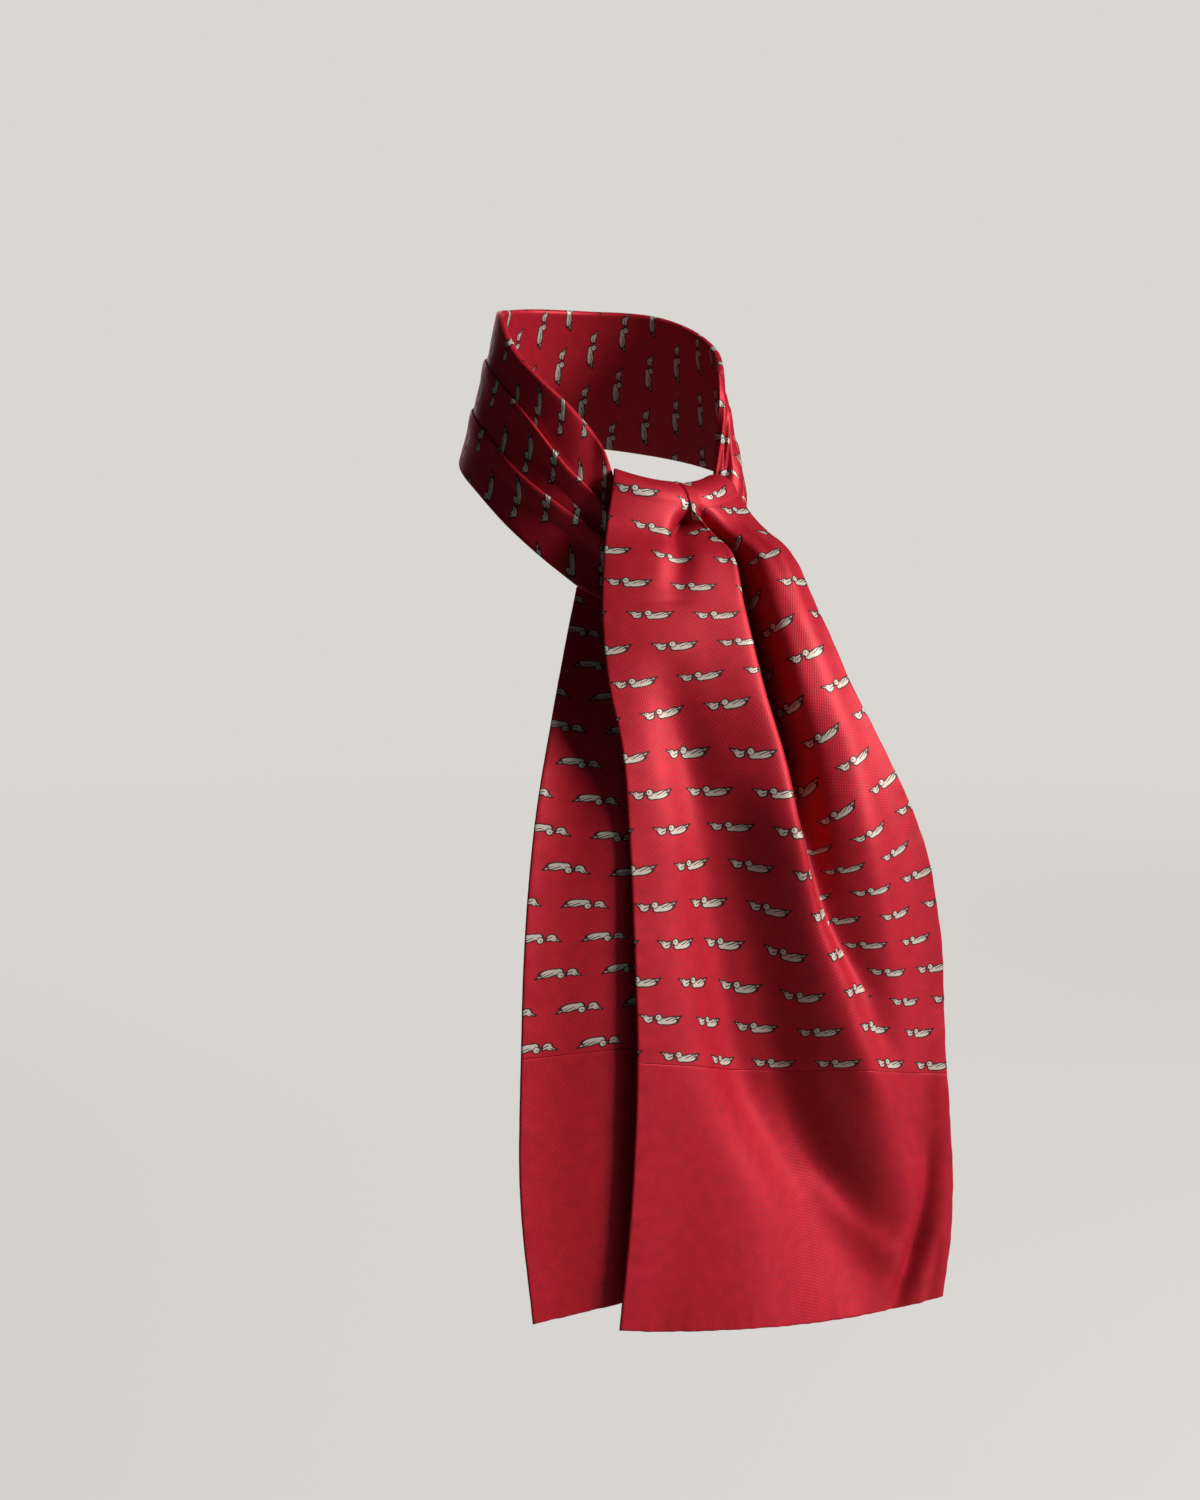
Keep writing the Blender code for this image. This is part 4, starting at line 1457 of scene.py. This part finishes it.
@dataclass
class FrontBlade:
    """The front blade from its root next to the neck down to its plain end."""

    root_radius: float = 61.2 * MM
    root_end: float = -39.7 * MM
    root_spread: float = 0.82
    fall_steps: int = 14
    turn_steps: int = 18
    stations: int = 132
    edge_rim: float = 0.007
    crowd_place: float = 0.58
    crowd_width: float = 0.13
    crowd_gain: float = 1.6
    throat_drop: float = 60 * MM
    throat_rows: int = 56
    lower_rows: int = 112
    seam_rows: tuple = (0.9984, 0.9992, 0.9997)
    first_motif: float = 23 * MM
    motif_above_seam: float = 4.5 * MM
    settled_drops: tuple = (165 * MM, 280 * MM)
    # Where the painted shade starts in the tuck and in the pinch, and how much of it the pinch gets.
    tuck_from: float = 0.15
    pinch_from: float = 0.2
    pinch_share: float = 0.75
    finish_print: SilkTwill = SilkTwill("front_blade_twill", Surface.PRINTED)
    finish_plain: SilkTwill = SilkTwill("front_tip_twill", Surface.PLAIN)

    def blade(self) -> Blade:
        """The blade's sizes and grid, finer at the throat and round the lap.

        Returns:
            The blade.
        """
        even = edge_stations(self.stations, self.edge_rim)
        stations = crowd(even, self.crowd_place, self.crowd_width, self.crowd_gain)
        upper = np.linspace(0, self.throat_drop / FRONT_SEAM, self.throat_rows)
        lower = np.linspace(upper[-1], 1, self.lower_rows)[1:]
        rows = with_close_rows(np.concatenate([upper, lower]), self.seam_rows)
        return Blade(FRONT_SECTIONS, FRONT_FOLDS | FRONT_CREASES, FRONT_PRESSED, FRONT_SEAM, stations, rows)

    def root(self, top_row: Grid) -> Grid:
        """The root: up next to the neck, then a half turn forward over the crossing.

        Args:
            top_row: The blade's first row of points.

        Returns:
            The rows before it, from the lower end up.
        """
        angle = np.degrees(np.arctan2(-top_row[:, 0], -top_row[:, 1]))
        radius = np.hypot(top_row[:, 0], top_row[:, 1])
        half = 0.5 * (radius - self.root_radius)
        share = np.linspace(0, 1, self.fall_steps, endpoint=False)[:, None]
        turn = np.linspace(np.pi, 0, self.turn_steps, endpoint=False)[:, None]
        height = self.root_end * (1 - share) + top_row[:, 2] * share
        fall = self.upright(angle * self.root_spread + 0 * share, self.root_radius + 0 * height, height)
        spread = 1 - (1 - self.root_spread) * turn / np.pi
        over = self.root_radius + half * (1 + np.cos(turn))
        roll = self.upright(angle * spread, over, top_row[:, 2] + half * np.sin(turn))
        return np.concatenate([fall, roll])

    def upright(self, angle: Grid, radius: Grid, height: Grid) -> Grid:
        """Place on an upright ring round the throat."""
        turn = np.radians(angle)
        return np.stack([-radius * np.sin(turn), -radius * np.cos(turn), height], -1)

    def prints(self, face: Grid, seam_row: int, stations: Grid, drop: Grid) -> Grid:
        """Print coordinates: laid from both edges, parted deep in the lap's tuck.

        Args:
            face: The blade's grid.
            seam_row: The first row below the seam.
            stations: Shares across it.
            drop: Drops of its rows.

        Returns:
            Print coordinates at each cell's corners.
        """
        settled = smooth_step(*self.settled_drops, drop)
        from_right, from_left = laid_from_edges(face, seam_row, settled)
        crease = column(FRONT_FOLDS["tuck"], "place", drop)
        beyond = (stations > crease[:, None])[:-1, :-1, None, None]
        laid = np.where(beyond, cell_corners(from_left), cell_corners(from_right))
        return laid - np.array([self.first_motif, self.motif_above_seam])

    def painted_tuck_shade(self, stations: Grid, drop: Grid) -> Grid:
        """Share of painted shade: the depths of the tuck and the pinch over their full ones.

        Args:
            stations: Shares across the blade.
            drop: Drops of its rows.

        Returns:
            The share at each point, which may pass 1 where both are deep.
        """
        deep = {"tuck": FRONT_FOLDS["tuck"], "head": FRONT_CREASES["tuck_head"]}
        tuck = -fold_shift(deep, stations, drop)[0] / TUCK_DEPTH
        pinch = -fold_shift({"dent": FRONT_CREASES["pinch_dent"]}, stations, drop)[0] / PINCH_DEPTH
        # Painted shade grows with depth in the tuck, and a part of it is added in the pinch.
        closed = smooth_step(self.tuck_from, 1.0, tuck)
        return closed + self.pinch_share * smooth_step(self.pinch_from, 1.0, pinch)

    def build(self) -> list[Piece]:
        """Make the blade and its plain end.

        Returns:
            The printed part and the plain end.
        """
        blade = self.blade()
        drop = blade.drops()
        face = blade.face(drop)
        root = self.root(face[0])
        face = np.concatenate([root, face])
        drop = np.concatenate([np.zeros(len(root)), drop])
        back = face - face_normals(face) * BLADE_WALL
        seam_row = int(np.searchsorted(drop, blade.seam))
        prints = self.prints(face, seam_row, blade.stations, drop)
        # The last grid is the painted shade deep in the tuck and the pinch.
        cloth = Cloth(face, back, prints, turned_over(prints), self.painted_tuck_shade(blade.stations, drop))
        parts = (
            BladePart("front_fall", "front_blade", self.finish_print),
            BladePart("front_end", "front_tip", self.finish_plain),
        )
        return hang(parts, seam_row, cloth)


@dataclass
class UnderBlade:
    """The left end, hanging behind the front blade, with its plain end."""

    stations: int = 88
    edge_rim: float = 0.006
    print_rows: int = 110
    close_rows: tuple = (0.001, 0.9975, 0.999, 0.9997)
    first_motif: float = 7 * MM
    motif_above_seam: float = 4.5 * MM
    settled_drops: tuple = (140 * MM, 200 * MM)
    finish_print: SilkTwill = SilkTwill("under_blade_twill", Surface.PRINTED)
    finish_plain: SilkTwill = SilkTwill("under_tip_twill", Surface.PLAIN)

    def blade(self) -> Blade:
        """The blade's sizes and grid.

        Returns:
            The blade.
        """
        stations = edge_stations(self.stations, self.edge_rim)
        rows = with_close_rows(np.linspace(0, 1, self.print_rows), self.close_rows)
        return Blade(UNDER_SECTIONS, UNDER_FOLDS, UNDER_PRESSED, UNDER_SEAM, stations, rows)

    def build(self) -> list[Piece]:
        """Make the blade and its plain end.

        Returns:
            The printed part and the plain end.
        """
        blade = self.blade()
        drop = blade.drops()
        face = blade.face(drop)
        back = face - face_normals(face) * BLADE_WALL
        seam_row = int(np.searchsorted(drop, blade.seam))
        laid, _ = laid_from_edges(face, seam_row, smooth_step(*self.settled_drops, drop))
        prints = cell_corners(np.array([self.first_motif, self.motif_above_seam]) - laid)
        parts = (
            BladePart("under_fall", "under_blade", self.finish_print),
            BladePart("under_end", "under_tip", self.finish_plain),
        )
        return hang(parts, seam_row, Cloth(face, back, prints, turned_over(prints)))


class Lamp(NamedTuple):
    """A soft square lamp aimed at the cravat: its place in degrees and metres, and watts."""

    azimuth: float
    elevation: float
    distance: float
    size: float
    power: float


LAMPS = {
    "key": Lamp(45.0, 27.0, 4.0, 1.5, 300.0),
    "back": Lamp(172.0, 24.0, 4.0, 2.4, 60.0),
}


@dataclass
class Studio:
    """Plain pale floor, soft light from the wearer's front left, a dim one behind, and the camera."""

    floor_height: float = -0.80
    floor_reach: float = 6.0
    floor_colour: str = "#8F8D8A"
    floor_glow: float = 0.56
    backdrop: str = "#DAD7D2"
    camera_place: tuple = (-0.412, -1.020, 0.0)
    camera_turn: tuple = (82.4, 0.0, -22.0)
    lens_mm: float = 48.48
    frame_mm: float = 36.0
    lamps_aim: tuple = (0.03, -0.10, -0.16)
    ambient: float = 0.045
    floor_roughness: float = 0.8
    fade_start: float = 1.2
    fade_end: float = 4.5

    def build(self) -> None:
        """Make floor, lights, world and camera."""
        self.floor()
        for name, lamp in LAMPS.items():
            self.hang_lamp(name, lamp)
        self.world()
        self.camera()

    def floor(self) -> None:
        """Pale floor that fades into the backdrop far from the part."""
        side = self.floor_reach
        corners = [(-side, -side), (side, -side), (side, side), (-side, side)]
        mesh = bpy.data.meshes.new("floor")
        mesh.from_pydata([(x, y, self.floor_height) for x, y in corners], [], [(0, 1, 2, 3)])
        floor = bpy.data.objects.new("floor", mesh)
        bpy.context.scene.collection.objects.link(floor)
        material = bpy.data.materials.new("painted_floor")
        material.use_nodes = True
        tree = material.node_tree
        shader = tree.nodes["Principled BSDF"]
        shader.inputs["Base Color"].default_value = linear(self.floor_colour)
        shader.inputs["Roughness"].default_value = self.floor_roughness
        seen = add_node(tree, "ShaderNodeLightPath", None, "Is Camera Ray")
        glow = add_node(tree, MATH, {0: seen, 1: self.floor_glow}, operation="MULTIPLY")
        tree.links.new(glow, shader.inputs["Emission Strength"])
        shader.inputs["Emission Color"].default_value = linear(self.backdrop)
        place = add_node(tree, "ShaderNodeTexCoord", None, "Object")
        flat = add_node(tree, VECTOR_MATH, {0: place, 1: (1, 1, 0)}, operation="MULTIPLY")
        reach = add_node(tree, VECTOR_MATH, {0: flat}, "Value", operation="LENGTH")
        span = {"Value": reach, "From Min": self.fade_start, "From Max": self.fade_end}
        fade = add_node(tree, "ShaderNodeMapRange", span, interpolation_type="SMOOTHSTEP")
        clear = add_node(tree, "ShaderNodeBsdfTransparent")
        mix = add_node(tree, "ShaderNodeMixShader", {0: fade, 1: shader.outputs[0], 2: clear})
        tree.links.new(mix, tree.nodes["Material Output"].inputs["Surface"])
        mesh.materials.append(material)

    def hang_lamp(self, name: str, lamp: Lamp) -> None:
        """Hang one lamp: azimuth 0 is the wearer's front, growing to the wearer's left.

        Args:
            name: The lamp's name.
            lamp: Its place, size and power.
        """
        azimuth, elevation = np.radians(lamp.azimuth), np.radians(lamp.elevation)
        level = np.array([np.sin(azimuth), -np.cos(azimuth), 0.0])
        way = level * np.cos(elevation) + np.array([0.0, 0.0, np.sin(elevation)])
        data = bpy.data.lights.new(name, "AREA")
        data.shape = "SQUARE"
        data.size = lamp.size
        data.energy = lamp.power
        hung = bpy.data.objects.new(name, data)
        hung.location = (lamp.distance * way + np.array(self.lamps_aim)).tolist()
        hung.rotation_euler = (np.pi / 2 - elevation, 0, azimuth)
        bpy.context.scene.collection.objects.link(hung)

    def world(self) -> None:
        """Even dim surroundings, seen directly as a pale backdrop."""
        world = bpy.data.worlds.new("studio")
        world.use_nodes = True
        bpy.context.scene.world = world
        tree = world.node_tree
        shown = tree.nodes["Background"]
        shown.inputs["Color"].default_value = linear(self.backdrop)
        dim = add_node(tree, "ShaderNodeBackground", {"Color": (1, 1, 1, 1), "Strength": self.ambient})
        seen = add_node(tree, "ShaderNodeLightPath", None, "Is Camera Ray")
        mix = add_node(tree, "ShaderNodeMixShader", {0: seen, 1: dim, 2: shown.outputs[0]})
        tree.links.new(mix, tree.nodes["World Output"].inputs["Surface"])

    def camera(self) -> None:
        """Camera level with the throat, turned to the wearer's right and a little down."""
        data = bpy.data.cameras.new("camera")
        data.sensor_fit = "VERTICAL"
        data.sensor_height = self.frame_mm
        data.lens = self.lens_mm
        data.clip_start = 0.05
        camera = bpy.data.objects.new("camera", data)
        camera.location = self.camera_place
        camera.rotation_euler = tuple(np.radians(self.camera_turn))
        bpy.context.scene.collection.objects.link(camera)
        bpy.context.scene.camera = camera


def main() -> None:
    """Build the cravat and its studio."""
    logging.basicConfig(level=logging.INFO, format="%(name)s: %(message)s")
    bpy.context.scene.view_settings.view_transform = "Standard"
    NeckBand().build()
    WoundStretches().build()
    FrontBlade().build()
    UnderBlade().build()
    Studio().build()


if __name__ == "__main__":
    main()
